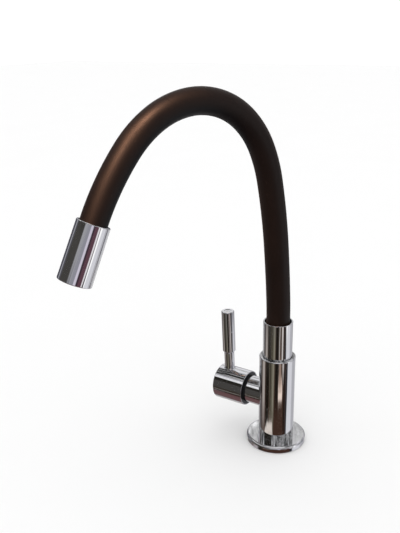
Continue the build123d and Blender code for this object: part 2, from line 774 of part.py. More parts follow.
for index in range(run_count):
    first = index == 0
    last = index == run_count - 1
    run = neck_runs[index]
    sleeve_end = run if last else run - socket_start
    core_from = 0 if first else -core_reach
    core_to = run if last else run - core_setback
    with BuildPart() as sleeve_run:
        with BuildSketch(run_plane(index, 0)):
            Circle(sleeve_radius)
        revolve(axis=run_axis(index), revolution_arc=run_turn(index, sleeve_end))
        if first:
            with BuildSketch(foot_plane):
                Circle(sleeve_radius)
            extrude(amount=foot_reach)
            with BuildSketch(foot_plane):
                Circle(sleeve_bore_radius)
            extrude(amount=foot_reach, mode=Mode.SUBTRACT)
            with BuildSketch(foot_plane):
                Circle(sleeve_end_bore)
            extrude(amount=ferrule_length, mode=Mode.SUBTRACT)
        else:
            with Locations(run_plane(index, 0)):
                Sphere(ball_radius, rotation=(0, 0, ball_seam_angle))
        if last:
            with BuildSketch(head_plane):
                Circle(sleeve_radius)
            extrude(amount=head_seat_depth)
            with BuildSketch(head_plane):
                Circle(sleeve_bore_radius)
            extrude(amount=head_seat_depth, mode=Mode.SUBTRACT)
            with BuildSketch(head_plane.offset(fit_clearance)):
                Circle(sleeve_end_bore)
            extrude(amount=head_seat_depth, mode=Mode.SUBTRACT)
        bore_start = 0 if first else -sleeve_radius
        with BuildSketch(run_plane(index, bore_start)):
            Circle(sleeve_bore_radius)
        revolve(
            axis=run_axis(index),
            revolution_arc=run_turn(index, run - bore_start),
            mode=Mode.SUBTRACT,
        )
        if not last:
            with Locations(run_plane(index, run)):
                Sphere(socket_radius, rotation=(0, 0, ball_seam_angle), mode=Mode.SUBTRACT)
    finish(sleeve_run.part, f"neck_sleeve_{index}")

    for name, outer, wall in (
        ("neck_armature", armature_radius, armature_wall),
        ("neck_hose", hose_radius, hose_wall),
    ):
        with BuildPart() as core_run:
            with BuildSketch(run_plane(index, core_from)):
                Circle(outer)
                Circle(outer - wall, mode=Mode.SUBTRACT)
            revolve(axis=run_axis(index), revolution_arc=run_turn(index, core_to - core_from))
            if first:
                with BuildSketch(foot_plane):
                    Circle(outer)
                    Circle(outer - wall, mode=Mode.SUBTRACT)
                extrude(amount=foot_reach)
            if last:
                with BuildSketch(head_plane):
                    Circle(outer)
                    Circle(outer - wall, mode=Mode.SUBTRACT)
                extrude(amount=head_seat_depth)
        finish(core_run.part, f"{name}_{index}")

# Crimp ferrules at both ends of the armature
with BuildPart() as lower_ferrule:
    with BuildSketch(Plane.XY.offset(cup_floor)):
        Circle(collar_mouth_radius - fit_clearance)
    extrude(amount=ferrule_flange_height)
    with BuildSketch(foot_plane):
        Circle(ferrule_radius)
    extrude(amount=ferrule_length - ferrule_flange_height)
    with BuildSketch(foot_plane):
        Circle(ferrule_bore_radius)
    extrude(amount=ferrule_length, mode=Mode.SUBTRACT)
    with BuildSketch(Plane.XY.offset(cup_floor)):
        Circle(barb_radius + fit_clearance)
    extrude(amount=ferrule_flange_height, mode=Mode.SUBTRACT)
finish(lower_ferrule.part, "lower_ferrule")

head_ferrule_length = head_seat_depth - 4 * fit_clearance
with BuildPart() as head_ferrule:
    with BuildSketch(head_plane.offset(head_seat_depth)):
        Circle(head_mouth_radius - fit_clearance)
    extrude(amount=ferrule_flange_height)
    with BuildSketch(head_plane.offset(head_seat_depth - head_ferrule_length)):
        Circle(ferrule_radius)
    extrude(amount=head_ferrule_length)
    with BuildSketch(head_plane.offset(head_seat_depth - head_ferrule_length)):
        Circle(ferrule_bore_radius)
    extrude(amount=head_ferrule_length, mode=Mode.SUBTRACT)
    with BuildSketch(head_plane.offset(head_seat_depth)):
        Circle(barb_radius + fit_clearance)
    extrude(amount=ferrule_flange_height, mode=Mode.SUBTRACT)
finish(head_ferrule.part, "head_ferrule")

# Nipple that joins the water hose to the outlet head
nipple_start = head_seat_depth + ferrule_flange_height
head_web_start = nipple_start + nipple_flange_height
aerator_end = head_length - aerator_recess
core_end = aerator_end - aerator_mouth_depth - aerator_lip
head_free_length = core_end - screen_height - aerator_washer_height - head_web_start
head_web_length = head_free_length * head_web_share
head_web_end = head_web_start + head_web_length
nipple_barb = nipple_start - barb_ridge
nipple_barb_step = nipple_barb / barb_count
with BuildPart() as head_nipple:
    with BuildSketch(head_plane.offset(nipple_start)):
        Circle(nipple_flange_radius)
    extrude(amount=nipple_flange_height)
    with BuildSketch(head_plane.offset(head_web_start)):
        Circle(nipple_thread_radius)
    extrude(amount=head_web_length)
    with BuildSketch(head_plane.offset(barb_ridge)):
        Circle(barb_radius - barb_ridge)
    extrude(amount=nipple_barb)
    for index in range(barb_count):
        with BuildSketch(head_plane.offset(barb_ridge + (index + 1 / 2) * nipple_barb_step)):
            Circle(barb_radius)
        extrude(amount=nipple_barb_step / 2)
    with BuildSketch(head_plane.offset(barb_ridge)):
        Circle(barb_bore)
    extrude(amount=nipple_barb + nipple_flange_height, mode=Mode.SUBTRACT)
    with BuildSketch(head_plane.offset(head_web_start)):
        Circle(nipple_bore)
    extrude(amount=head_web_length, mode=Mode.SUBTRACT)
finish(head_nipple.part, "head_nipple")

# Outlet head shell: slightly flared tube with a web for the nipple and a bore for the aerator
with BuildPart() as head_shell:
    with BuildSketch(head_plane):
        Circle(head_top_radius)
    with BuildSketch(head_plane.offset(head_length)):
        Circle(head_end_radius)
    loft()
    with BuildSketch(head_plane):
        Circle(head_mouth_radius)
    extrude(amount=head_web_start, mode=Mode.SUBTRACT)
    with BuildSketch(head_plane):
        Circle(nipple_thread_radius + fit_clearance)
    extrude(amount=head_web_end, mode=Mode.SUBTRACT)
    with BuildSketch(head_plane.offset(head_web_end)):
        Circle(aerator_bore_radius)
    extrude(amount=head_length, mode=Mode.SUBTRACT)
    outer_edges = head_shell.edges().filter_by(GeomType.CIRCLE).filter_by(
        lambda edge: edge.radius > head_top_radius - fit_clearance
    )
    fillet(outer_edges, radius=head_edge_round)
finish(head_shell.part, "head_shell")

# Aerator: washer, screen, flow-former core and threaded housing
washer_start = head_web_end
screen_start = washer_start + aerator_washer_height
aerator_inner_radius = aerator_radius - aerator_wall
core_start = screen_start + screen_height
with BuildPart() as aerator_washer:
    with BuildSketch(head_plane.offset(washer_start)):
        Circle(aerator_radius)
        Circle(aerator_washer_hole, mode=Mode.SUBTRACT)
    extrude(amount=aerator_washer_height)
finish(aerator_washer.part, "aerator_washer")

with BuildPart() as aerator_screen:
    with BuildSketch(head_plane.offset(screen_start)):
        Circle(aerator_inner_radius - fit_clearance)
        with Locations(*hexagonal_places(screen_pitch, aerator_inner_radius - screen_pitch)):
            RegularPolygon(radius=screen_hole_radius, side_count=6, mode=Mode.SUBTRACT)
    extrude(amount=screen_height)
finish(aerator_screen.part, "aerator_screen")

with BuildPart() as aerator_core:
    with BuildSketch(head_plane.offset(core_start)):
        Circle(aerator_inner_radius - fit_clearance)
        with Locations(*hexagonal_places(core_pitch, aerator_inner_radius - core_pitch / 2 - aerator_lip)):
            RegularPolygon(radius=core_hole_radius, side_count=6, mode=Mode.SUBTRACT)
    extrude(amount=core_end - core_start)
finish(aerator_core.part, "aerator_core")

with BuildPart() as aerator_housing:
    with BuildSketch(head_plane.offset(screen_start)):
        Circle(aerator_radius)
        Circle(aerator_inner_radius, mode=Mode.SUBTRACT)
    extrude(amount=aerator_end - screen_start)
    with BuildSketch(head_plane.offset(core_end)):
        Circle(aerator_inner_radius)
        Circle(aerator_inner_radius - aerator_lip, mode=Mode.SUBTRACT)
    extrude(amount=aerator_lip)
    with BuildSketch(head_plane.offset(aerator_end - aerator_notch_depth)):
        with PolarLocations(aerator_radius, aerator_notch_count):
            Rectangle(2 * aerator_wall + aerator_notch_width, aerator_notch_width)
    extrude(amount=aerator_notch_depth + cut_overrun, mode=Mode.SUBTRACT)
finish(aerator_housing.part, "aerator_housing")

print("neck stations", [tuple(round(value, 2) for value in station) for station in stations])
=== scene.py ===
import json
import math
from itertools import accumulate

import bpy
from bpy.props import FloatProperty, FloatVectorProperty, IntProperty, PointerProperty
from mathutils import Matrix, Vector

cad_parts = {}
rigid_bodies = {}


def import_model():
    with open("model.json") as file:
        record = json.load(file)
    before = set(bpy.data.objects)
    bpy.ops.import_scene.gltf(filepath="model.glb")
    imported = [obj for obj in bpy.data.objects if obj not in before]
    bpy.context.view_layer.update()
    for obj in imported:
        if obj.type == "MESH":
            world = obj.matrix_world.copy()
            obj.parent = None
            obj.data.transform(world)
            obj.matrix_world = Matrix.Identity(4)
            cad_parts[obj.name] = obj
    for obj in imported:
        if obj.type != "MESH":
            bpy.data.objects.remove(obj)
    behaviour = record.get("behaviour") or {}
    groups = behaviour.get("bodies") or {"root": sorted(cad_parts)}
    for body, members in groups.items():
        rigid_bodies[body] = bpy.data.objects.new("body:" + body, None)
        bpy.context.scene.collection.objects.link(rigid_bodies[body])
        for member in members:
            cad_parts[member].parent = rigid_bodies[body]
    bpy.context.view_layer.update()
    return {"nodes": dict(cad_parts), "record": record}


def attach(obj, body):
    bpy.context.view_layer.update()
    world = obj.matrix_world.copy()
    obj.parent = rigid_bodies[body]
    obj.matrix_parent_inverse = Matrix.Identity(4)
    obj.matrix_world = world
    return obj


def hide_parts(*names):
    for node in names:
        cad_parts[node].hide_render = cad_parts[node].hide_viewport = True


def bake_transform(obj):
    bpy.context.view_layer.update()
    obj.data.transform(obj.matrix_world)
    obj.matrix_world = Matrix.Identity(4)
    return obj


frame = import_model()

bl_info = {
    "name": "Flexible Kitchen Faucet Dresser",
    "version": (1, 0, 0),
    "blender": (4, 5, 0),
    "location": "View3D > Sidebar > Faucet",
    "description": "Gives the packed kitchen faucet its finished surfaces and its studio",
    "category": "Object",
}

# Lengths below are in millimetres, and MM turns them into Blender's metres
MM = 0.001

# Neck route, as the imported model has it: the run of each stretch and its lean from upright
SPOUT_TURN = 25.8
NECK_FOOT = 125.0
NECK_RUNS = (25.0, 50.0, 60.0) + (30.0,) * 6 + (60.0,)
NECK_LEANS = (0.0, 3.0, 5.0, 11.0, 24.0, 46.0, 73.0, 99.5, 123.0, 141.5, 156.5)
SLEEVE_FOOT = 104.0
HEAD_SEAT = 12.0
UP = Vector((0, 0, 1))
ROUTE = Vector((-math.sin(math.radians(SPOUT_TURN)), -math.cos(math.radians(SPOUT_TURN)), 0))
BEND = UP.cross(ROUTE)

# Steps of the turned meshes: angle of each step of a rounded corner, then rings of a cap, round an
# opening and of a fillet
ROUND_STEP = math.radians(8)
CAP_STEPS = 8
PATCH_STEPS = 8
FILLET_STEPS = 5

# Sleeve: edges past this angle stay sharp, and vertices nearer than this distance become one
SHARP_ANGLE = math.radians(40)
MERGE_DISTANCE = 0.001

# Valve branch along -X
VALVE_HEIGHT = 45.8
LEVER_DISTANCE = 52.0
LEVER_LEAN = 2.0

# Outlines of the turned pieces: corners of (radius, height, round), anticlockwise, in the piece's frame
FLANGE_OUTLINE = (
    (11.4775, 3.0, 0), (24.55, 3.0, 0), (24.55, 0.4, 0), (28.4, 0.4, 0.4), (28.4, 6.2, 2.2),
    (17.05, 6.2, 0.12), (17.05, 5.2, 0), (11.4775, 5.2, 0),
)
BODY_RADIUS = 17.0
BRANCH_ROWS = tuple(29.8 + 2.0 * row for row in range(17))
SCREW_ROWS = tuple(77.0 + row for row in range(9))
BODY_OUTLINE = (
    ((10.5275, 5.2, 0), (BODY_RADIUS, 5.2, 0))
    + tuple((BODY_RADIUS, height, 0) for height in BRANCH_ROWS + SCREW_ROWS)
    + (
        (BODY_RADIUS, 90.0, 0.9), (14.3, 90.0, 0.15), (14.3, 84.0, 0), (12.0, 84.0, 0), (12.0, 66.0, 0),
        (0, 66.0, 0), (0, 51.8, 0), (6.5, 51.8, 0), (6.5, 17.2, 0), (10.5275, 17.2, 0),
    )
)
BRANCH_RADIUS = 13.3
BRANCH_FILLET = 0.8
BRANCH_WIDTH = math.radians(120)
BRANCH_OUTLINE = (
    (BRANCH_RADIUS, 17.0, 0), (BRANCH_RADIUS, 28.0, 0.4), (10.65, 28.0, 0.1), (10.65, 23.5, 0),
    (11.35, 23.5, 0), (11.35, 9.0, 0), (0, 9.0, 0),
)
SCREW_RADIUS = 2.05
SCREW_HEIGHT = 81.0
SCREW_WIDTH = math.radians(29)
SCREW_OUTLINE = ((SCREW_RADIUS, BODY_RADIUS, 0), (SCREW_RADIUS, 12.2, 0), (0, 12.2, 0))
COLLAR_OUTLINE = (
    (10.05, 85.0, 0), (13.8, 85.0, 0.2), (13.8, 125.2, 0.45), (12.45, 125.2, 0.45), (12.45, 102.0, 0),
    (10.05, 102.0, 0),
)
# Black ring in the gap between the branch's end and the hub: a dark part that stands for the shade in that
# gap, painted shade
GAP_SHADE_RING_OUTLINE = (
    (12.9, 28.0, 0), (12.9, 30.7, 0), (15.8, 30.7, 0.3), (15.8, 34.6, 0.3), (12.05, 34.6, 0.15),
    (12.05, 28.0, 0),
)
HUB_RADIUS = 17.0
HUB_ROWS = tuple(46.41 + 1.25 * row for row in range(9))
HUB_OUTLINE = (
    ((HUB_RADIUS, 30.4, 0.3),)
    + tuple((HUB_RADIUS, height, 0) for height in HUB_ROWS)
    + (
        (HUB_RADIUS, 62.1, 0.35), (15.3, 63.3, 0), (0, 63.8, 0), (0, 57.7, 0), (3.95, 57.7, 0),
        (3.95, 40.4, 0), (11.0, 40.4, 0), (11.0, 35.6, 0), (16.1, 35.6, 0), (16.1, 30.4, 0.25),
    )
)
HUB_CROWN = (15.3, 63.3, 0.5)
GRUB_RADIUS = 2.55
GRUB_DISTANCE = 51.41
GRUB_WIDTH = math.radians(37)
GRUB_OUTLINE = ((GRUB_RADIUS, HUB_RADIUS, 0), (GRUB_RADIUS, 8.0, 0), (0, 8.0, 0))
LEVER_OUTLINE = (
    (0, 7.6, 0), (3.15, 7.6, 0.3), (3.15, 16.1, 0), (5.7, 16.1, 0), (5.7, 17.2, 0.3), (4.95, 17.2, 0),
    (4.95, 33.9, 0.15), (4.25, 33.9, 0), (4.25, 35.2, 0), (6.3, 35.2, 0.9), (6.3, 77.6, 0.9), (3.92, 77.6, 0),
    (0, 76.7, 0),
)
LEVER_DIMPLE = (3.92, 77.6, -0.9)
HEAD_OUTLINE = (
    (11.4, 0.0, 0.15), (13.3, 0.0, 0.6), (13.8, 47.6, 0.6), (11.6, 47.6, 0.2), (11.6, 24.58, 0),
    (9.55, 24.58, 0), (9.55, 16.6, 0), (11.4, 16.6, 0),
)


class FaucetSizes(bpy.types.PropertyGroup):
    """Sizes of the fine shapes that a user may change."""

    sleeve_radius: FloatProperty(
        name="Sleeve Radius", description="Outer radius of the silicone sleeve",
        default=11.0 * MM, min=5.0 * MM, unit="LENGTH",
    )
    sleeve_wall: FloatProperty(
        name="Sleeve Wall", description="Thickness of the silicone sleeve",
        default=2.6 * MM, min=0.5 * MM, unit="LENGTH",
    )
    ring_step: FloatProperty(
        name="Ring Step", description="Distance between the sleeve's rings of vertices",
        default=1.0 * MM, min=0.2 * MM, unit="LENGTH",
    )
    sleeve_sides: IntProperty(
        name="Sleeve Sides", description="Vertices round the sleeve", default=96, min=12,
    )
    turned_sides: IntProperty(
        name="Turned Sides", description="Vertices round each turned metal piece", default=192, min=24,
    )


class FaucetColours(bpy.types.PropertyGroup):
    """Colours of the finishes that a user may change."""

    chrome: FloatVectorProperty(
        name="Chrome", description="Colour of the chrome plate", subtype="COLOR",
        size=4, default=(0.87, 0.87, 0.885, 1.0), min=0, max=1,
    )
    silicone: FloatVectorProperty(
        name="Silicone", description="Colour of the sleeve", subtype="COLOR",
        size=4, default=(0.0014, 0.0012, 0.0013, 1.0), min=0, max=1,
    )
    floor: FloatVectorProperty(
        name="Floor", description="Colour of the studio floor", subtype="COLOR",
        size=4, default=(0.93, 0.93, 0.93, 1.0), min=0, max=1,
    )


class StudioSettings(bpy.types.PropertyGroup):
    """Camera and light of the studio."""

    camera_place: FloatVectorProperty(
        name="Camera Place", description="Where the camera stands", subtype="TRANSLATION",
        default=(0.26398, -0.52416, 0.38502), unit="LENGTH",
    )
    camera_turn: FloatProperty(
        name="Camera Turn", description="Plan angle of the line of sight from +Y towards -X",
        default=math.radians(33.743), subtype="ANGLE",
    )
    camera_pitch: FloatProperty(
        name="Camera Pitch", description="How far the camera looks down",
        default=math.radians(19.39), subtype="ANGLE",
    )
    camera_roll: FloatProperty(
        name="Camera Roll", description="Turn of the picture about the line of sight",
        default=math.radians(-1.079), subtype="ANGLE",
    )
    camera_lens: FloatProperty(
        name="Camera Lens", description="Focal length on a 36 mm sensor", default=46.277,
    )
    sleeve_light: FloatProperty(
        name="Sleeve Light", description="Strength of the warm light on the sleeve in watts",
        default=230.0, min=0,
    )


def route_at(distance):
    """Place, direction and inward direction on the neck's centreline at a distance from the neck's foot."""
    starts = [0.0, *accumulate(NECK_RUNS)]
    place = Vector((0, 0, NECK_FOOT))
    if distance <= 0:
        return place + UP * distance, UP.copy(), ROUTE.copy()
    for index, run in enumerate(NECK_RUNS):
        lean = math.radians(NECK_LEANS[index])
        turn = math.radians(NECK_LEANS[index + 1]) - lean
        radius = run / turn
        inward = ROUTE * math.cos(lean) - UP * math.sin(lean)
        centre = place + inward * radius
        part = min(distance - starts[index], run) / run * turn
        inward = ROUTE * math.cos(lean + part) - UP * math.sin(lean + part)
        along = ROUTE * math.sin(lean + part) + UP * math.cos(lean + part)
        place = centre - inward * radius
        if distance <= starts[index + 1]:
            return place, along, inward
    return place + along * (distance - starts[-1]), along, inward


def material_named(name):
    """A fresh material, its node tree and its surface shader."""
    material = bpy.data.materials.new(name)
    material.use_nodes = True
    tree = material.node_tree
    return material, tree, tree.nodes["Principled BSDF"]


def fill(tree, node, inputs):
    """Gives inputs of a node their values, and links those that come from another node."""
    for key, value in inputs.items():
        if isinstance(value, bpy.types.NodeSocket):
            tree.links.new(value, node.inputs[key])
        else:
            node.inputs[key].default_value = value


def add_node(tree, kind, place, inputs=None, **settings):
    """Adds a node, sets its own settings and fills its inputs."""
    node = tree.nodes.new(kind)
    node.location = place
    for key, value in settings.items():
        setattr(node, key, value)
    fill(tree, node, inputs or {})
    return node


def noise_on(tree, vector, place, scale, detail=3.0, rough=0.5, stretch=(1, 1, 1)):
    """Noise read on a vector, which may be stretched first."""
    mapping = add_node(tree, "ShaderNodeMapping", (place[0] - 200, place[1]), inputs={
        "Vector": vector, "Scale": stretch,
    })
    noise = add_node(tree, "ShaderNodeTexNoise", place, inputs={
        "Vector": mapping.outputs["Vector"], "Scale": scale, "Detail": detail, "Roughness": rough,
    })
    return noise.outputs["Fac"]


def ramp_on(tree, value, place, stops):
    """Colour ramp on a value, with stops of (position, colour)."""
    ramp = add_node(tree, "ShaderNodeValToRGB", place, inputs={"Fac": value})
    elements = ramp.color_ramp.elements
    while len(elements) < len(stops):
        elements.new(0.5)
    for element, (position, colour) in zip(elements, stops):
        element.position = position
        element.color = (*colour, 1.0) if isinstance(colour, tuple) else (colour, colour, colour, 1.0)
    return ramp.outputs["Color"]


def range_on(tree, value, place, low, high, to_low=0.0, to_high=1.0):
    """Value mapped from one range to another and kept inside it."""
    mapped = add_node(tree, "ShaderNodeMapRange", place, inputs={
        "Value": value, "From Min": low, "From Max": high, "To Min": to_low, "To Max": to_high,
    })
    return mapped.outputs["Result"]


def sum_of(tree, first, second, place, operation="ADD", **settings):
    """Two values, linked or plain, joined by one operation."""
    joined = add_node(tree, "ShaderNodeMath", place, {0: first, 1: second}, operation=operation, **settings)
    return joined.outputs["Value"]


def mix_colours(tree, factor, first, second, place):
    """Colour mixed from a first to a second by a factor."""
    mix = add_node(tree, "ShaderNodeMix", place, data_type="RGBA")
    for socket, value in (("Factor_Float", factor), ("A_Color", first), ("B_Color", second)):
        target = next(item for item in mix.inputs if item.identifier == socket)
        if isinstance(value, bpy.types.NodeSocket):
            tree.links.new(value, target)
        else:
            target.default_value = value
    return next(item for item in mix.outputs if item.identifier == "Result_Color")


def bump_from(tree, height, place, distance, strength=1.0, normal=None):
    """Bump from a height of 0 to 1 that stands for a distance in metres."""
    bump = add_node(tree, "ShaderNodeBump", place, inputs={
        "Height": height, "Distance": distance, "Strength": strength,
    })
    if normal:
        fill(tree, bump, {"Normal": normal})
    return bump.outputs["Normal"]


def own_place(tree, attribute=None):
    """Vector that a pattern is read on: the piece's own attribute, or its Object coordinates."""
    if attribute:
        source = add_node(tree, "ShaderNodeAttribute", (-1500, 0), attribute_name=attribute)
        return source.outputs["Vector"]
    return add_node(tree, "ShaderNodeTexCoord", (-1500, 0)).outputs["Object"]


def chrome_finish(name, colour, wave, smudge):
    """Chrome plate: a slow wave in the polish, fine peel, smudges, hairline scratches and dust."""
    material, tree, shader = material_named(name)
    place = own_place(tree)
    smears = noise_on(tree, place, (-900, 300), 55.0, 4.0, 0.62)
    hairlines = noise_on(tree, place, (-900, 0), 260.0, 2.0, 0.4, (1.0, 1.0, 26.0))
    specks = noise_on(tree, place, (-900, -300), 2600.0, 1.0, 0.4)
    dusty = range_on(tree, specks, (-650, -300), 0.70, 0.78)
    dull = range_on(tree, smears, (-650, 300), 0.52, 0.78, 0.035, 0.035 + smudge)
    scratched = range_on(tree, hairlines, (-650, 0), 0.66, 0.80, 0.0, 0.10)
    rough = sum_of(tree, dull, scratched, (-400, 150))
    rough = sum_of(tree, rough, sum_of(tree, dusty, 0.25, (-400, -300), "MULTIPLY"), (-200, 100))
    darker = tuple(channel * 0.93 for channel in colour[:3]) + (1.0,)
    tint = mix_colours(tree, smears, tuple(colour), darker, (-400, 500))
    slow = noise_on(tree, place, (-900, -600), 42.0, 1.0, 0.4)
    peel = noise_on(tree, place, (-900, -900), 700.0, 1.0, 0.5)
    normal = bump_from(tree, slow, (-600, -600), wave * MM)
    normal = bump_from(tree, peel, (-400, -700), 0.0012 * MM, normal=normal)
    fill(tree, shader, {"Base Color": tint, "Roughness": rough, "Normal": normal, "Metallic": 1.0})
    return material


def silicone_finish(name, colour):
    """Matte silicone: a fine grain, faint drawing lines, uneven sheen, lint and handling marks."""
    material, tree, shader = material_named(name)
    place = own_place(tree, "sleeve_rest")
    clouds = noise_on(tree, place, (-900, 300), 28.0, 4.0, 0.55)
    lines = noise_on(tree, place, (-900, 0), 900.0, 2.0, 0.5, (1.0, 1.0, 0.02))
    grain = noise_on(tree, place, (-900, -300), 3200.0, 2.0, 0.6)
    lint = noise_on(tree, place, (-900, -600), 1500.0, 1.0, 0.3, (1.0, 1.0, 0.35))
    dusty = range_on(tree, lint, (-650, -600), 0.72, 0.80, 0.0, 0.35)
    warmer = (colour[0] * 2.0, colour[1] * 1.55, colour[2] * 1.4, 1.0)
    tint = mix_colours(tree, clouds, tuple(colour), warmer, (-600, 500))
    tint = mix_colours(tree, dusty, tint, (0.02, 0.017, 0.016, 1.0), (-350, 450))
    rough = range_on(tree, clouds, (-650, 250), 0.3, 0.7, 0.44, 0.56)
    normal = bump_from(tree, lines, (-600, 0), 0.02 * MM, 0.5)
    normal = bump_from(tree, grain, (-400, -200), 0.012 * MM, 0.6, normal)
    fill(tree, shader, {
        "Base Color": tint, "Roughness": rough, "Normal": normal,
        "Specular IOR Level": 0.20, "Sheen Weight": 0.015, "Sheen Roughness": 0.45,
    })
    return material


def plain_finish(name, colour, rough, grain, metallic=0.0, stretch=(1, 1, 1), depth=0.01, contrast=0.25):
    """Machined metal, rubber, plastic or ceramic: clouded colour, uneven polish and its own grain."""
    material, tree, shader = material_named(name)
    place = own_place(tree)
    clouds = noise_on(tree, place, (-900, 300), 120.0, 4.0, 0.6)
    fine = noise_on(tree, place, (-900, 0), grain, 3.0, 0.6, stretch)
    darker = tuple(channel * (1 - contrast) for channel in colour[:3]) + (1.0,)
    lighter = tuple(min(1.0, channel * (1 + contrast)) for channel in colour[:3]) + (1.0,)
    fill(tree, shader, {
        "Base Color": mix_colours(tree, clouds, darker, lighter, (-500, 400)),
        "Roughness": range_on(tree, fine, (-600, 100), 0.3, 0.7, rough * 0.85, min(1.0, rough * 1.2)),
        "Normal": bump_from(tree, fine, (-400, -100), depth * MM, 0.7),
        "Metallic": metallic,
    })
    return material


def make_finishes(colours):
    """One material for each material slot of the record."""
    return {
        "chrome": chrome_finish("Chrome Plate", colours.chrome, 0.05, 0.07),
        "silicone": silicone_finish("Matte Silicone", colours.silicone),
        "brass": plain_finish("Turned Brass", (0.62, 0.43, 0.19), 0.28, 500.0, 1.0, (1, 1, 30), 0.006),
        "steel": plain_finish("Drawn Steel", (0.52, 0.52, 0.53), 0.32, 700.0, 1.0, (1, 1, 20), 0.006),
        "black_rubber": plain_finish("Black Rubber", (0.018, 0.018, 0.018), 0.62, 1500.0, depth=0.02),
        "black_plastic": plain_finish("Black Moulded Plastic", (0.010, 0.010, 0.011), 0.34, 1800.0),
        "white_plastic": plain_finish(
            "White Moulded Plastic", (0.72, 0.72, 0.70), 0.42, 1800.0, contrast=0.05,
        ),
        "ceramic_disc": plain_finish("Lapped Ceramic", (0.80, 0.77, 0.72), 0.22, 2400.0, contrast=0.05),
        "hose_plastic": plain_finish("Grey Hose", (0.42, 0.44, 0.46), 0.5, 1200.0, contrast=0.1),
    }


finishes = {}


def dress(piece, body, slot, *nodes):
    """Gives a piece its finish, its body and the nodes that it stands for."""
    piece.data.materials.clear()
    piece.data.materials.append(finishes[slot])
    piece.data.polygons.foreach_set("material_index", [0] * len(piece.data.polygons))
    if body:
        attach(piece, body)
    if nodes:
        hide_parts(*nodes)
    return piece


def new_piece(name, mesh):
    """Object at the origin that holds a finished mesh."""
    piece = bpy.data.objects.new(name, mesh)
    bpy.context.scene.collection.objects.link(piece)
    return piece


class FAUCET_OT_carried_nodes(bpy.types.Operator):
    """Give every carried-over node the finish of its material slot"""

    bl_idname = "faucet.carried_nodes"
    bl_label = "Finish Carried Nodes"

    def execute(self, context):
        for row in frame["record"]["subparts"]:
            node = frame["nodes"][row["node"]]
            node.data.materials.clear()
            node.data.materials.append(finishes[row["material_slot"]])
        return {"FINISHED"}


def sleeve_tree():
    """Node tree that sweeps a hollow sleeve along a curve and keeps its place on the straight sleeve."""
    tree = bpy.data.node_groups.new("Sleeve Along Route", "GeometryNodeTree")
    tree.is_modifier = True
    face = tree.interface
    face.new_socket("Route", in_out="INPUT", socket_type="NodeSocketGeometry")
    for name, kind, value in (
        ("Radius", "NodeSocketFloat", 11.0 * MM),
        ("Wall", "NodeSocketFloat", 2.6 * MM),
        ("Sides", "NodeSocketInt", 96),
        ("Start Distance", "NodeSocketFloat", 0.0),
        ("Plane Normal", "NodeSocketVector", (0.0, 1.0, 0.0)),
    ):
        face.new_socket(name, in_out="INPUT", socket_type=kind).default_value = value
    face.new_socket("Finish", in_out="INPUT", socket_type="NodeSocketMaterial")
    face.new_socket("Sleeve", in_out="OUTPUT", socket_type="NodeSocketGeometry")
    given = add_node(tree, "NodeGroupInput", (-1400, 0)).outputs
    steady = add_node(tree, "GeometryNodeSetCurveNormal", (-1150, 200), mode="FREE", inputs={
        "Curve": given["Route"], "Normal": given["Plane Normal"],
    })
    distance = add_node(tree, "GeometryNodeSplineParameter", (-1150, -100))
    kept = add_node(tree, "GeometryNodeCaptureAttribute", (-900, 200), domain="POINT")
    kept.capture_items.new("FLOAT", "Distance")
    fill(tree, kept, {"Geometry": steady.outputs["Curve"], "Distance": distance.outputs["Length"]})
    bore = sum_of(tree, given["Radius"], given["Wall"], (-1150, -300), "SUBTRACT")
    circle = add_node(tree, "GeometryNodeCurvePrimitiveCircle", (-900, -200), mode="RADIUS", inputs={
        "Resolution": given["Sides"], "Radius": bore,
    })
    spot = add_node(tree, "GeometryNodeInputPosition", (-900, -450))
    across = add_node(tree, "ShaderNodeVectorMath", (-700, -450), operation="NORMALIZE", inputs={
        0: spot.outputs["Position"],
    })
    around = add_node(tree, "GeometryNodeCaptureAttribute", (-600, -200), domain="POINT")
    around.capture_items.new("VECTOR", "Across")
    fill(tree, around, {"Geometry": circle.outputs["Curve"], "Across": across.outputs["Vector"]})
    sweep = add_node(tree, "GeometryNodeCurveToMesh", (-350, 100), inputs={
        "Curve": kept.outputs["Geometry"], "Profile Curve": around.outputs["Geometry"],
    })
    outer = add_node(tree, "GeometryNodeExtrudeMesh", (-100, 250), mode="FACES", inputs={
        "Mesh": sweep.outputs["Mesh"], "Offset Scale": given["Wall"], "Individual": False,
    })
    inner = add_node(tree, "GeometryNodeFlipFaces", (-100, -50), inputs={"Mesh": sweep.outputs["Mesh"]})
    both = add_node(tree, "GeometryNodeJoinGeometry", (100, 150))
    for part in (outer, inner):
        tree.links.new(part.outputs["Mesh"], both.inputs["Geometry"])
    closed = add_node(tree, "GeometryNodeMergeByDistance", (300, 150), inputs={
        "Geometry": both.outputs["Geometry"], "Distance": MERGE_DISTANCE * MM,
    })
    ring = add_node(tree, "ShaderNodeVectorMath", (100, -250), operation="SCALE", inputs={
        0: around.outputs["Across"], "Scale": given["Radius"],
    })
    split = add_node(tree, "ShaderNodeSeparateXYZ", (300, -250), inputs={"Vector": ring.outputs["Vector"]})
    height = sum_of(tree, kept.outputs["Distance"], given["Start Distance"], (300, -450))
    rest = add_node(tree, "ShaderNodeCombineXYZ", (500, -250), inputs={
        "X": split.outputs["X"], "Y": split.outputs["Y"], "Z": height,
    })
    store = add_node(
        tree, "GeometryNodeStoreNamedAttribute", (500, 150), data_type="FLOAT_VECTOR", domain="POINT",
        inputs={
            "Geometry": closed.outputs["Geometry"], "Name": "sleeve_rest", "Value": rest.outputs["Vector"],
        },
    )
    real = add_node(tree, "GeometryNodeRealizeInstances", (700, 150), inputs={
        "Geometry": store.outputs["Geometry"],
    })
    finish = add_node(tree, "GeometryNodeSetMaterial", (900, 150), inputs={
        "Geometry": real.outputs["Geometry"], "Material": given["Finish"],
    })
    add_node(tree, "NodeGroupOutput", (1100, 150), inputs={"Sleeve": finish.outputs["Geometry"]})
    return tree


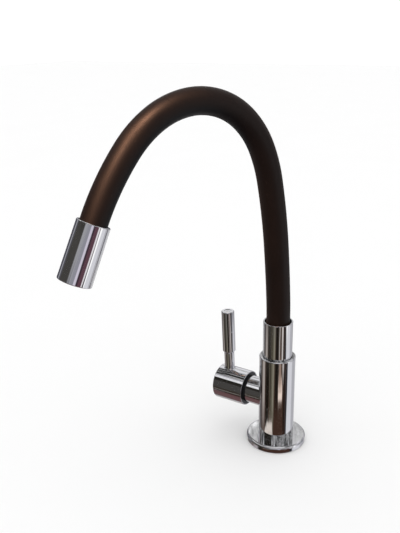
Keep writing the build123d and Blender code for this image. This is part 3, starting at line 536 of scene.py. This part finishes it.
def baked_piece(name, source, tree, values):
    """Runs a node tree on an object with the given inputs and keeps the result as a plain mesh piece."""
    modifier = source.modifiers.new(tree.name, "NODES")
    modifier.node_group = tree
    for item in tree.interface.items_tree:
        if item.in_out == "INPUT" and item.name in values:
            modifier[item.identifier] = values[item.name]
    graph = bpy.context.evaluated_depsgraph_get()
    mesh = bpy.data.meshes.new_from_object(source.evaluated_get(graph), depsgraph=graph)
    mesh.name = name
    source.modifiers.clear()
    bpy.data.objects.remove(source)
    return new_piece(name, mesh)


def sleeve_spans():
    """Start and end distance of each visible sleeve piece, from the middle of one run to the next."""
    starts = [0.0, *accumulate(NECK_RUNS)]
    middles = [start + run / 2 for start, run in zip(starts, NECK_RUNS)]
    ends = middles[1:-1] + [starts[-1] + HEAD_SEAT]
    return list(zip([SLEEVE_FOOT - NECK_FOOT] + middles[1:-1], ends))


class FAUCET_OT_sleeve(bpy.types.Operator):
    """Make the silicone sleeve, one piece across each bend of the neck"""

    bl_idname = "faucet.sleeve"
    bl_label = "Neck Sleeve"

    def execute(self, context):
        sizes = context.scene.faucet_sizes
        tree = sleeve_tree()
        for index, (low, high) in enumerate(sleeve_spans(), start=1):
            steps = math.ceil((high - low) * MM / sizes.ring_step)
            places = [low + (high - low) * step / steps for step in range(steps + 1)]
            curve = bpy.data.curves.new(f"route_{index}", "CURVE")
            curve.dimensions = "3D"
            spline = curve.splines.new("POLY")
            spline.points.add(steps)
            for point, distance in zip(spline.points, places):
                point.co = (*(route_at(distance)[0] * MM), 1.0)
            name = f"silicone_sleeve_{index}"
            piece = baked_piece(name, new_piece(f"route_{index}", curve), tree, {
                "Radius": sizes.sleeve_radius,
                "Wall": sizes.sleeve_wall,
                "Sides": sizes.sleeve_sides,
                "Start Distance": low * MM,
                "Plane Normal": tuple(BEND),
                "Finish": finishes["silicone"],
            })
            piece.data.shade_smooth()
            piece.data.set_sharp_from_angle(angle=SHARP_ANGLE)
            nodes = [f"neck_sleeve_{index - 1}"] + (["neck_sleeve_9"] if index == 9 else [])
            dress(piece, None, "silicone", *nodes)
            first, along, _ = route_at(low)
            last, onward, _ = route_at(high)
            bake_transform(piece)
        return {"FINISHED"}


def rounded_outline(corners):
    """Outline with its corners rounded, as rows of place, arriving normal and leaving normal."""
    rows = []
    for index, (radius, height, rounding) in enumerate(corners):
        here = Vector((radius, height))
        before = (here - Vector(corners[index - 1][:2])).normalized()
        after = (Vector(corners[(index + 1) % len(corners)][:2]) - here).normalized()
        turn = math.atan2(before.x * after.y - before.y * after.x, before.dot(after))
        arriving, leaving = Vector((before.y, -before.x)), Vector((after.y, -after.x))
        if not rounding:
            rows.append((here, arriving, leaving))
            continue
        start = here - before * rounding * math.tan(abs(turn) / 2)
        centre = start - arriving * math.copysign(rounding, turn)
        steps = max(2, math.ceil(abs(turn) / ROUND_STEP))
        for step in range(steps + 1):
            spin = Matrix.Rotation(turn * step / steps, 2)
            rows.append((centre + spin @ (start - centre), spin @ arriving, spin @ arriving))
    return rows


def with_cap(rows, cap):
    """Makes the run from an edge to the axis a shallow spherical cap, hollow for a rise below zero."""
    edge_radius, edge_height, rise = cap
    edge = Vector((edge_radius, edge_height))
    sphere = (edge_radius ** 2 + rise ** 2) / (2 * rise)
    centre = Vector((0, edge_height + rise - sphere))
    index = next(number for number, row in enumerate(rows) if (row[0] - edge).length < 0.001)
    capped = []
    for step in range(CAP_STEPS + 1):
        radius = edge_radius * (1 - step / CAP_STEPS)
        height = centre.y + math.copysign(math.sqrt(sphere ** 2 - radius ** 2), rise)
        place = Vector((radius, height))
        normal = (place - centre) / sphere
        capped.append((place, normal, normal))
    capped[0] = (rows[index][0], rows[index][1], capped[0][2])
    capped[-1] = (rows[index + 1][0], capped[-1][1], rows[index + 1][2])
    return rows[:index] + capped + rows[index + 2:]


def spun(flat, angle):
    """Radius and height turned about the axis to an angle."""
    return Vector((flat.x * math.cos(angle), flat.x * math.sin(angle), flat.y))


def frame_at(origin, side, axis):
    """Matrix of a piece's own frame from its origin, its first axis and its turning axis."""
    axes = Matrix((side, axis.cross(side), axis)).transposed().to_4x4()
    return Matrix.Translation(origin) @ axes


class Shell:
    """Vertices, faces and exact corner normals of one closed turned mesh."""

    def __init__(self):
        self.places, self.faces, self.normals = [], [], []

    def ring(self, places):
        """Adds vertices and returns their numbers."""
        first = len(self.places)
        self.places.extend(places)
        return range(first, len(self.places))

    def bridge(self, first, second, left_out=()):
        """Adds the faces between two rings of vertices and normals. One vertex stands for a pole."""
        count = max(len(first[0]), len(second[0]))
        for step in range(count):
            if step in left_out:
                continue
            corners = {}
            for (ring, normals), at in (
                (first, step), (first, step + 1), (second, step + 1), (second, step),
            ):
                corners.setdefault(ring[at % len(ring)], normals[at % len(ring)])
            self.faces.append(tuple(corners))
            self.normals.extend(corners.values())

    def turn(self, rows, sides, openings=()):
        """Adds the surface turned from an outline and returns the rings of its rows."""
        angles = [math.tau * side / sides for side in range(sides)]
        rings = []
        for place, arriving, leaving in rows:
            at = angles if place.x > 0 else angles[:1]
            ring = self.ring([spun(place, angle) for angle in at])
            rings.append((ring, [spun(arriving, a) for a in at], [spun(leaving, a) for a in at]))
        for index, (ring, _, leaving) in enumerate(rings):
            after, arriving, _ = rings[(index + 1) % len(rings)]
            left_out = [
                column for first, last, columns in openings if first <= index < last for column in columns
            ]
            if len(ring) > 1 or len(after) > 1:
                self.bridge((ring, leaving), (after, arriving), left_out)
        return [ring for ring, _, _ in rings]

    def opening(self, rings, columns, wall_radius, centre, tail, fillet=0.0):
        """Joins a bore or a branch, square to the axis, to the hole that was left for it in a turned wall."""
        angle, height = centre
        outward = Vector((math.cos(angle), math.sin(angle), 0))
        aside = UP.cross(outward)
        first, last = columns[0], columns[-1] + 1
        edge = [rings[0][column] for column in range(first, last)]
        edge += [ring[last] for ring in rings[:-1]]
        edge += [rings[-1][column] for column in range(last, first, -1)]
        edge += [ring[first] for ring in reversed(rings[1:])]
        starts, ends, turns = [], [], []
        reach = tail[0][0].x + fillet
        for number in edge:
            place = self.places[number]
            around = math.atan2(place.dot(aside), place.dot(outward))
            turn = math.atan2(place.z - height, wall_radius * around)
            across = reach * math.cos(turn)
            along = math.sqrt((wall_radius + fillet) ** 2 - across ** 2)
            starts.append((around, place.z))
            ends.append((math.atan2(across, along), height + reach * math.sin(turn)))
            turns.append((turn, along))
        before = (edge, [(outward * math.cos(a) + aside * math.sin(a)) for a, _ in starts])
        for step in range(1, PATCH_STEPS + 1):
            share = step / PATCH_STEPS
            spots, normals = [], []
            for (start, low), (end, high) in zip(starts, ends):
                around = start + (end - start) * share
                normals.append(outward * math.cos(around) + aside * math.sin(around))
                spots.append(normals[-1] * wall_radius + UP * (low + (high - low) * share))
            after = (self.ring(spots), normals)
            self.bridge(before, after)
            before = after
        frame_here = Matrix((aside, UP, outward)).transposed()
        if fillet:
            walls = before[1]
            for step in range(1, FILLET_STEPS + 1):
                spots, normals = [], []
                for wall, (turn, along) in zip(walls, turns):
                    level = frame_here @ Vector((math.cos(turn), math.sin(turn), 0))
                    middle = level * reach + outward * along + UP * height
                    normal = wall.slerp(level, step / FILLET_STEPS)
                    normals.append(normal)
                    spots.append(middle - normal * fillet)
                after = (self.ring(spots), normals)
                self.bridge(before, after)
                before = after
        ring = before[0]
        leaving = [frame_here @ spun(tail[0][2], turn) for turn, _ in turns]
        for place, arriving, onward in tail[1:]:
            at = turns if place.x > 0 else turns[:1]
            after = self.ring([frame_here @ spun(place, turn) + UP * height for turn, _ in at])
            self.bridge((ring, leaving), (after, [frame_here @ spun(arriving, turn) for turn, _ in at]))
            ring = after
            leaving = [frame_here @ spun(onward, turn) for turn, _ in at]

    def piece(self, name, matrix):
        """Object at the origin that holds the shell, set in its place by a matrix in millimetres."""
        mesh = bpy.data.meshes.new(name)
        mesh.from_pydata([(matrix @ place) * MM for place in self.places], [], self.faces)
        mesh.shade_smooth()
        turn = matrix.to_3x3()
        mesh.normals_split_custom_set([(turn @ normal).normalized() for normal in self.normals])
        return new_piece(name, mesh)


def turned_piece(name, corners, matrix, sides, cap=None):
    """Piece turned from one outline."""
    rows = rounded_outline(corners)
    shell = Shell()
    shell.turn(with_cap(rows, cap) if cap else rows, sides)
    return shell.piece(name, matrix)


def wall_rows(rows, radius, low, high):
    """Numbers of the first and last row of a turned wall between two heights."""
    numbers = [
        number for number, row in enumerate(rows)
        if abs(row[0].x - radius) < 0.001 and low - 0.01 <= row[0].y <= high + 0.01
    ]
    return numbers[0], numbers[-1]


def opened_columns(sides, angle, width):
    """Columns of a turned wall that an opening of a given angular width takes."""
    middle = round(sides * angle / math.tau)
    half = math.ceil(sides * width / math.tau / 2)
    return range(middle - half, middle + half)


def branch_frame():
    """Frame of the pieces turned about the side branch."""
    return frame_at(Vector((0, 0, VALVE_HEIGHT)), Vector((0, -1, 0)), Vector((-1, 0, 0)))


class FAUCET_OT_base_flange(bpy.types.Operator):
    """Make the turned base flange"""

    bl_idname = "faucet.base_flange"
    bl_label = "Base Flange"

    def execute(self, context):
        sides = context.scene.faucet_sizes.turned_sides
        piece = turned_piece("turned_flange", FLANGE_OUTLINE, Matrix(), sides)
        dress(piece, "faucet_base", "chrome", "base_flange")
        return {"FINISHED"}


class FAUCET_OT_body(bpy.types.Operator):
    """Make the upright body with its side branch and the hole of its retaining screw"""

    bl_idname = "faucet.body"
    bl_label = "Upright Body"

    def execute(self, context):
        sides = context.scene.faucet_sizes.turned_sides
        rows = rounded_outline(BODY_OUTLINE)
        openings = (
            (math.pi, VALVE_HEIGHT, BRANCH_WIDTH, BRANCH_ROWS, BRANCH_OUTLINE, BRANCH_FILLET),
            (math.pi / 2, SCREW_HEIGHT, SCREW_WIDTH, SCREW_ROWS, SCREW_OUTLINE, 0.0),
        )
        holes = [
            (*wall_rows(rows, BODY_RADIUS, heights[0], heights[-1]), opened_columns(sides, angle, width))
            for angle, _, width, heights, _, _ in openings
        ]
        shell = Shell()
        rings = shell.turn(rows, sides, holes)
        for (angle, height, _, _, outline, fillet), (low, high, columns) in zip(openings, holes):
            shell.opening(
                rings[low:high + 1], columns, BODY_RADIUS, (angle, height), rounded_outline(outline), fillet,
            )
        dress(shell.piece("turned_body", Matrix()), "faucet_base", "chrome", "body_shell")
        return {"FINISHED"}


class FAUCET_OT_collar(bpy.types.Operator):
    """Make the turned collar round the foot of the neck"""

    bl_idname = "faucet.collar"
    bl_label = "Neck Collar"

    def execute(self, context):
        sides = context.scene.faucet_sizes.turned_sides
        piece = turned_piece("turned_collar", COLLAR_OUTLINE, Matrix(), sides)
        dress(piece, "spout_foot", "chrome", "collar")
        return {"FINISHED"}


class FAUCET_OT_handle(bpy.types.Operator):
    """Make the black ring that paints the shade in the gap at the hub's end, the handle hub with its grub
    screw hole, and the lever rod
    """

    bl_idname = "faucet.handle"
    bl_label = "Handle"

    def execute(self, context):
        sides = context.scene.faucet_sizes.turned_sides
        # Black ring set in the gap at the hub's end: painted shade, a dark part where the gap is in shadow
        ring = turned_piece("turned_bearing_ring", GAP_SHADE_RING_OUTLINE, branch_frame(), sides)
        dress(ring, "faucet_base", "black_plastic", "bearing_ring")
        rows = with_cap(rounded_outline(HUB_OUTLINE), HUB_CROWN)
        span = wall_rows(rows, HUB_RADIUS, HUB_ROWS[0], HUB_ROWS[-1])
        columns = opened_columns(sides, 1.5 * math.pi, GRUB_WIDTH)
        shell = Shell()
        rings = shell.turn(rows, sides, [(*span, columns)])
        shell.opening(
            rings[span[0]:span[1] + 1], columns, HUB_RADIUS, (1.5 * math.pi, GRUB_DISTANCE),
            rounded_outline(GRUB_OUTLINE),
        )
        dress(shell.piece("turned_hub", branch_frame()), "handle", "chrome", "handle_hub")
        lean = math.radians(LEVER_LEAN)
        upward = Vector((-math.sin(lean), 0, math.cos(lean)))
        matrix = frame_at(Vector((-LEVER_DISTANCE, 0, VALVE_HEIGHT)), Vector((0, -1, 0)), upward)
        lever = turned_piece("turned_lever", LEVER_OUTLINE, matrix, sides // 2, LEVER_DIMPLE)
        dress(lever, "handle", "chrome", "lever_rod")
        return {"FINISHED"}


class FAUCET_OT_outlet_head(bpy.types.Operator):
    """Make the turned shell of the outlet head"""

    bl_idname = "faucet.outlet_head"
    bl_label = "Outlet Head"

    def execute(self, context):
        sides = context.scene.faucet_sizes.turned_sides
        place, along, _ = route_at(sum(NECK_RUNS))
        piece = turned_piece("turned_head", HEAD_OUTLINE, frame_at(place, BEND.copy(), along), sides)
        dress(piece, "outlet_head", "chrome", "head_shell")
        return {"FINISHED"}


class FAUCET_OT_studio(bpy.types.Operator):
    """Make the floor, the soft light, the surroundings and the camera"""

    bl_idname = "faucet.studio"
    bl_label = "Studio"

    def execute(self, context):
        studio = context.scene.faucet_studio
        make_floor(context.scene.faucet_colours.floor)
        make_world()
        make_sleeve_light(studio)
        data = bpy.data.cameras.new("Picture Camera")
        data.lens = studio.camera_lens
        data.sensor_width = 36.0
        data.clip_start = 0.01
        data.clip_end = 30.0
        camera = new_piece("Picture Camera", data)
        turn, pitch = studio.camera_turn, studio.camera_pitch
        forward = Vector((
            -math.sin(turn) * math.cos(pitch), math.cos(turn) * math.cos(pitch), -math.sin(pitch),
        ))
        right = Vector((math.cos(turn), math.sin(turn), 0))
        upward = right.cross(forward)
        roll = studio.camera_roll
        side = right * math.cos(roll) + upward * math.sin(roll)
        top = upward * math.cos(roll) - right * math.sin(roll)
        axes = Matrix((side, top, -forward)).transposed().to_4x4()
        camera.matrix_world = Matrix.Translation(studio.camera_place) @ axes
        context.scene.camera = camera
        context.scene.view_settings.view_transform = "Standard"
        context.scene.view_settings.look = "None"
        return {"FINISHED"}


def make_floor(colour):
    """Plain pale floor at the height of the deck face."""
    reach = 6.0
    mesh = bpy.data.meshes.new("studio_floor")
    corners = [(-reach, -reach, 0), (reach, -reach, 0), (reach, reach, 0), (-reach, reach, 0)]
    mesh.from_pydata(corners, [], [(0, 1, 2, 3)])
    floor = new_piece("studio_floor", mesh)
    material, tree, shader = material_named("Pale Floor")
    place = own_place(tree)
    clouds = noise_on(tree, place, (-900, 300), 6.0, 3.0, 0.5)
    darker = tuple(channel * 0.985 for channel in colour[:3]) + (1.0,)
    fill(tree, shader, {
        "Base Color": mix_colours(tree, clouds, tuple(colour), darker, (-500, 300)),
        "Roughness": 0.9, "Specular IOR Level": 0.1,
    })
    mesh.materials.append(material)
    floor.visible_glossy = False


# Light of the surroundings on all but glossy rays, and how far noise bends the mirrored panels, in degrees
SOFT_LIGHT = (1.09, 1.09, 1.09, 1.0)
PANEL_WOBBLE = 9.0
PANEL_RIPPLE = 0.8
# What the polished metal mirrors: panels of plan angle, half width, lowest and highest elevation, softness
# of the edges, all in degrees, and light
PANELS = (
    # Walls round the camera's right
    (31, 24, -60, 25, 4, (0.72, 0.72, 0.76)),
    (71, 20, -60, 25, 8, (0.46, 0.46, 0.49)),
    (103, 14, -60, 20, 6, (0.64, 0.64, 0.65)),
    (60, 40, -20, 10, 3, (0.27, 0.27, 0.29)),
    (103, 9, -20, 4, 4, (0.10, 0.10, 0.10)),
    (34, 2, -20, 10, 1.5, (0.10, 0.10, 0.11)),
    (52, 3, -20, 10, 1.5, (0.14, 0.14, 0.16)),
    (88, 3, -26, 10, 1.5, (0.10, 0.10, 0.11)),
    (70, 3, -26, 10, 1.5, (0.55, 0.55, 0.57)),
    # Walls behind the lever
    (147, 14, -60, -21, 5, (0.56, 0.55, 0.55)),
    (161, 13, -26, -20.5, 1, (0.66, 0.66, 0.66)),
    (169, 13, -60, -26, 4, (0.13, 0.12, 0.12)),
    (202, 9, -30.2, -20, 3, (0.40, 0.36, 0.33)),
    (160, 40, -20, 14, 6, (0.085, 0.085, 0.105)),
    (186, 3, -20, 8, 3, (0.40, 0.40, 0.42)),
    (200, 32, -42, -34.3, 0.6, (0.66, 0.62, 0.66)),
    # Olive wall and dark doorway opposite
    (230, 8, -33, -20, 3, (0.030, 0.026, 0.022)),
    (232, 28, -21, 18, 6, (0.060, 0.057, 0.053)),
    (246, 9, -28, -20, 3, (0.050, 0.044, 0.036)),
    (235, 8, -40, -29, 3, (0.012, 0.009, 0.006)),
    (264, 14, -30.9, -20, 3, (0.120, 0.108, 0.078)),
    (254, 2.5, -30.7, -20, 1, (0.035, 0.030, 0.022)),
    (272, 4.0, -30.5, -20, 2, (0.24, 0.22, 0.17)),
    (268, 12, -21, 8, 5, (0.11, 0.11, 0.12)),
    (281, 3, -12, 14, 2, (0.34, 0.34, 0.37)),
    (293, 8, -29.9, -20, 2, (0.012, 0.010, 0.008)),
    (309, 5, -29.9, -20, 2, (0.075, 0.062, 0.052)),
    (296, 7, -6, 16, 4, (0.30, 0.30, 0.34)),
    (309, 5, -6, 12, 2, (0.66, 0.62, 0.72)),
    # Warm cupboards to the camera's left, the purple cloth and the bright door edge
    (335, 15, -20, 4, 4, (0.115, 0.058, 0.075)),
    (323, 4, -14, 4, 2, (0.050, 0.032, 0.045)),
    (334, 4, -27.2, -21, 2, (0.60, 0.55, 0.53)),
    (313, 1.5, -27.2, -21, 1, (0.50, 0.47, 0.45)),
    (345, 4, -32, -20, 2, (0.016, 0.011, 0.010)),
    (353, 5, -20, 10, 2, (0.80, 0.77, 0.79)),
    (0, 5, -60, -21, 2, (0.035, 0.033, 0.038)),
    (9, 5, -24, 10, 2, (1.15, 1.15, 1.15)),
    # Bright papers low in front
    (244, 30, -33.35, -32.95, 4, (0.72, 0.64, 0.58)),
    (246, 24, -33.05, -32.6, 4, (0.75, 0.68, 0.62)),
    (250, 18, -32.7, -32.2, 4, (0.75, 0.68, 0.62)),
    (319, 11, -30.2, -29.4, 3, (0.95, 0.78, 0.68)),
    (318, 7, -29.5, -28.8, 3, (0.80, 0.62, 0.52)),
    (317, 4, -28.9, -27.4, 3, (0.34, 0.24, 0.19)),
    # Ceiling
    (241, 26, 20, 36, 3, (0.020, 0.018, 0.015)),
    (231, 26, 38, 47, 2, (1.10, 1.10, 1.12)),
    (238, 16, 41.5, 42.5, 4, (0.12, 0.11, 0.12)),
    (216, 14, 47, 51, 2, (0.45, 0.45, 0.48)),
    (127, 14, 4, 20, 6, (0.80, 0.80, 0.82)),
    (127, 14, 39, 50, 6, (0.80, 0.80, 0.82)),
)


def panel_tree():
    """Node tree that lays one soft-edged panel over the colour below it."""
    tree = bpy.data.node_groups.new("Mirrored Panel", "ShaderNodeTree")
    face = tree.interface
    face.new_socket("Below", in_out="INPUT", socket_type="NodeSocketColor")
    for name in (
        "Plan Angle", "Elevation", "Centre", "Half Width", "Lowest", "Highest", "Edge", "Rise Edge",
    ):
        face.new_socket(name, in_out="INPUT", socket_type="NodeSocketFloat")
    face.new_socket("Light", in_out="INPUT", socket_type="NodeSocketColor")
    face.new_socket("Seen", in_out="OUTPUT", socket_type="NodeSocketColor")
    given = add_node(tree, "NodeGroupInput", (-1000, 0)).outputs

    def mask(distance, limit, edge, place):
        over = sum_of(tree, distance, limit, place, "SUBTRACT")
        share = sum_of(tree, over, edge, (place[0] + 150, place[1]), "DIVIDE")
        return sum_of(tree, 1.0, share, (place[0] + 300, place[1]), "SUBTRACT", use_clamp=True)

    apart = sum_of(tree, given["Plan Angle"], given["Centre"], (-800, 300), "SUBTRACT")
    apart = sum_of(tree, sum_of(tree, apart, 540.0, (-650, 300)), 360.0, (-500, 300), "FLOORED_MODULO")
    apart = sum_of(tree, sum_of(tree, apart, 180.0, (-350, 300), "SUBTRACT"), 0.0, (-200, 300), "ABSOLUTE")
    wide = mask(apart, given["Half Width"], given["Edge"], (0, 300))
    middle = sum_of(tree, given["Lowest"], given["Highest"], (-800, 0))
    middle = sum_of(tree, middle, 0.5, (-650, 0), "MULTIPLY")
    reach = sum_of(tree, given["Highest"], middle, (-500, -100), "SUBTRACT")
    rise = sum_of(tree, given["Elevation"], middle, (-500, 0), "SUBTRACT")
    rise = sum_of(tree, rise, 0.0, (-350, 0), "ABSOLUTE")
    tall = mask(rise, reach, given["Rise Edge"], (0, 0))
    seen = mix_colours(
        tree, sum_of(tree, wide, tall, (500, 200), "MULTIPLY"), given["Below"], given["Light"], (700, 100),
    )
    add_node(tree, "NodeGroupOutput", (900, 100), inputs={"Seen": seen})
    return tree


def laid_panel(tree, panel, angle, rise, below, layer, place):
    """Adds one panel over a colour and returns the colour then seen at a plan angle and an elevation."""
    centre, half, low, high, edge, light = layer
    return add_node(tree, "ShaderNodeGroup", place, node_tree=panel, inputs={
        "Below": below, "Plan Angle": angle, "Elevation": rise, "Centre": centre, "Half Width": half,
        "Lowest": low, "Highest": high, "Edge": edge, "Rise Edge": min(edge, (high - low) * 0.6),
        "Light": light,
    }).outputs["Seen"]


def make_world():
    """Soft studio light, and the dark and bright panels that the polished metal mirrors."""
    world = bpy.data.worlds.new("Soft Studio")
    bpy.context.scene.world = world
    world.use_nodes = True
    tree = world.node_tree
    tree.nodes.clear()
    direction = add_node(tree, "ShaderNodeTexCoord", (-1800, 0)).outputs["Generated"]
    axes = add_node(tree, "ShaderNodeSeparateXYZ", (-1400, 100), inputs={"Vector": direction})
    angle = sum_of(tree, axes.outputs["Y"], axes.outputs["X"], (-1200, 100), "ARCTAN2")
    angle = sum_of(tree, angle, math.degrees(1), (-1050, 100), "MULTIPLY")
    wobble = noise_on(tree, direction, (-1400, -400), 6.0, 3.0, 0.55)
    wobble = sum_of(tree, wobble, 0.5, (-1200, -400), "SUBTRACT")
    wobble = sum_of(tree, wobble, PANEL_WOBBLE, (-1050, -400), "MULTIPLY")
    angle = sum_of(tree, angle, wobble, (-900, 100))
    rise = sum_of(tree, axes.outputs["Z"], 0.0, (-1200, -100), "ARCSINE")
    rise = sum_of(tree, rise, math.degrees(1), (-1050, -100), "MULTIPLY")
    ripple = noise_on(tree, direction, (-1400, -700), 30.0, 2.0, 0.5)
    ripple = sum_of(tree, ripple, 0.5, (-1200, -700), "SUBTRACT")
    ripple = sum_of(tree, ripple, PANEL_RIPPLE, (-1050, -700), "MULTIPLY")
    rise = sum_of(tree, rise, ripple, (-900, -100))
    seen = ramp_on(tree, range_on(tree, rise, (-750, -300), -90.0, 90.0), (-600, -300), [
        (0.0, (0.15, 0.085, 0.085)), (0.22, (0.14, 0.078, 0.080)), (0.29, (0.060, 0.032, 0.024)),
        (0.335, (0.052, 0.027, 0.019)), (0.345, (0.075, 0.052, 0.040)), (0.45, (0.09, 0.08, 0.08)),
        (0.55, (0.30, 0.30, 0.32)), (0.68, (0.55, 0.55, 0.57)), (0.80, (1.0, 1.0, 1.02)),
        (1.0, (1.15, 1.15, 1.17)),
    ])
    spread = add_node(tree, "ShaderNodeCombineXYZ", (-900, -700), inputs={
        "X": sum_of(tree, angle, 0.11, (-900, -850), "MULTIPLY"),
        "Y": sum_of(tree, rise, 0.9, (-900, -1000), "MULTIPLY"),
    })
    shelves = noise_on(tree, spread.outputs["Vector"], (-600, -700), 1.0, 1.0, 0.5, (0.35, 2.4, 1.0))
    specks = ramp_on(tree, shelves, (-400, -700), [
        (0.44, 0.012), (0.53, 0.03), (0.57, 1.0), (0.61, 1.0), (0.66, 0.1),
    ])
    beams = noise_on(tree, spread.outputs["Vector"], (-600, -1200), 1.0, 1.0, 0.5, (0.6, 0.22, 1.0))
    ceiling = ramp_on(tree, beams, (-400, -1200), [(0.46, 0.015), (0.55, 0.035), (0.59, 0.85), (0.65, 0.10)])
    litter = noise_on(tree, direction, (-600, -950), 62.0, 2.0, 0.5)
    bright = ramp_on(tree, litter, (-400, -950), [(0.40, 0.06), (0.46, 0.85), (0.52, 0.20), (0.58, 1.10)])
    panel = panel_tree()
    layers = [(180, 180, 50, 72, 1, ceiling), (180, 180, 21, 37, 1, specks), (118, 26, 29, 37, 8, bright)]
    layers += [(*shape, (*light, 1.0)) for *shape, light in PANELS]
    for index, layer in enumerate(layers):
        seen = laid_panel(tree, panel, angle, rise, seen, layer, (180 * index, 0))
    right = 180 * len(layers)
    path = add_node(tree, "ShaderNodeLightPath", (right, 300))
    soft = mix_colours(tree, path.outputs["Is Glossy Ray"], SOFT_LIGHT, seen, (right + 200, 100))
    light = add_node(tree, "ShaderNodeBackground", (right + 400, 100), inputs={"Color": soft})
    add_node(tree, "ShaderNodeOutputWorld", (right + 600, 100), inputs={
        "Surface": light.outputs["Background"],
    })


def make_sleeve_light(settings):
    """Warm soft spot from above the camera's left that falls on the outer half of the sleeve."""
    data = bpy.data.lights.new("Sleeve Light", "SPOT")
    data.shadow_soft_size = 0.13
    data.spot_size = math.radians(19)
    data.spot_blend = 1.0
    data.energy = settings.sleeve_light
    data.color = (1.0, 0.51, 0.31)
    lamp = new_piece("Sleeve Light", data)
    lamp.location = (0.02, -0.446, 0.742)
    aim = Vector((-0.060, -0.126, 0.292)) - lamp.location
    lamp.rotation_euler = aim.to_track_quat("-Z", "Y").to_euler()
    lit = bpy.data.collections.new("Lit Sleeve")
    for piece in bpy.data.objects:
        if piece.name.startswith("silicone_sleeve"):
            lit.objects.link(piece)
    lamp.light_linking.receiver_collection = lit


class FAUCET_PT_dresser(bpy.types.Panel):
    """Sidebar panel with the steps in order"""

    bl_idname = "FAUCET_PT_dresser"
    bl_label = "Faucet Dresser"
    bl_space_type = "VIEW_3D"
    bl_region_type = "UI"
    bl_category = "Faucet"

    def draw(self, context):
        for step in STEPS:
            self.layout.operator(step.bl_idname)


STEPS = (
    FAUCET_OT_carried_nodes, FAUCET_OT_base_flange, FAUCET_OT_body, FAUCET_OT_collar, FAUCET_OT_handle,
    FAUCET_OT_sleeve, FAUCET_OT_outlet_head, FAUCET_OT_studio,
)
GROUPS = (
    (FaucetSizes, "faucet_sizes"), (FaucetColours, "faucet_colours"), (StudioSettings, "faucet_studio"),
)


def register():
    """Registers the property groups, the steps and the panel."""
    for group, name in GROUPS:
        bpy.utils.register_class(group)
        setattr(bpy.types.Scene, name, PointerProperty(type=group))
    for step in STEPS:
        bpy.utils.register_class(step)
    bpy.utils.register_class(FAUCET_PT_dresser)


def unregister():
    """Takes away what register added."""
    bpy.utils.unregister_class(FAUCET_PT_dresser)
    for step in reversed(STEPS):
        bpy.utils.unregister_class(step)
    for group, name in reversed(GROUPS):
        delattr(bpy.types.Scene, name)
        bpy.utils.unregister_class(group)


def main():
    """Runs every step in order."""
    register()
    finishes.update(make_finishes(bpy.context.scene.faucet_colours))
    for step in STEPS:
        area, name = step.bl_idname.split(".")
        getattr(getattr(bpy.ops, area), name)()


if __name__ == "__main__":
    main()
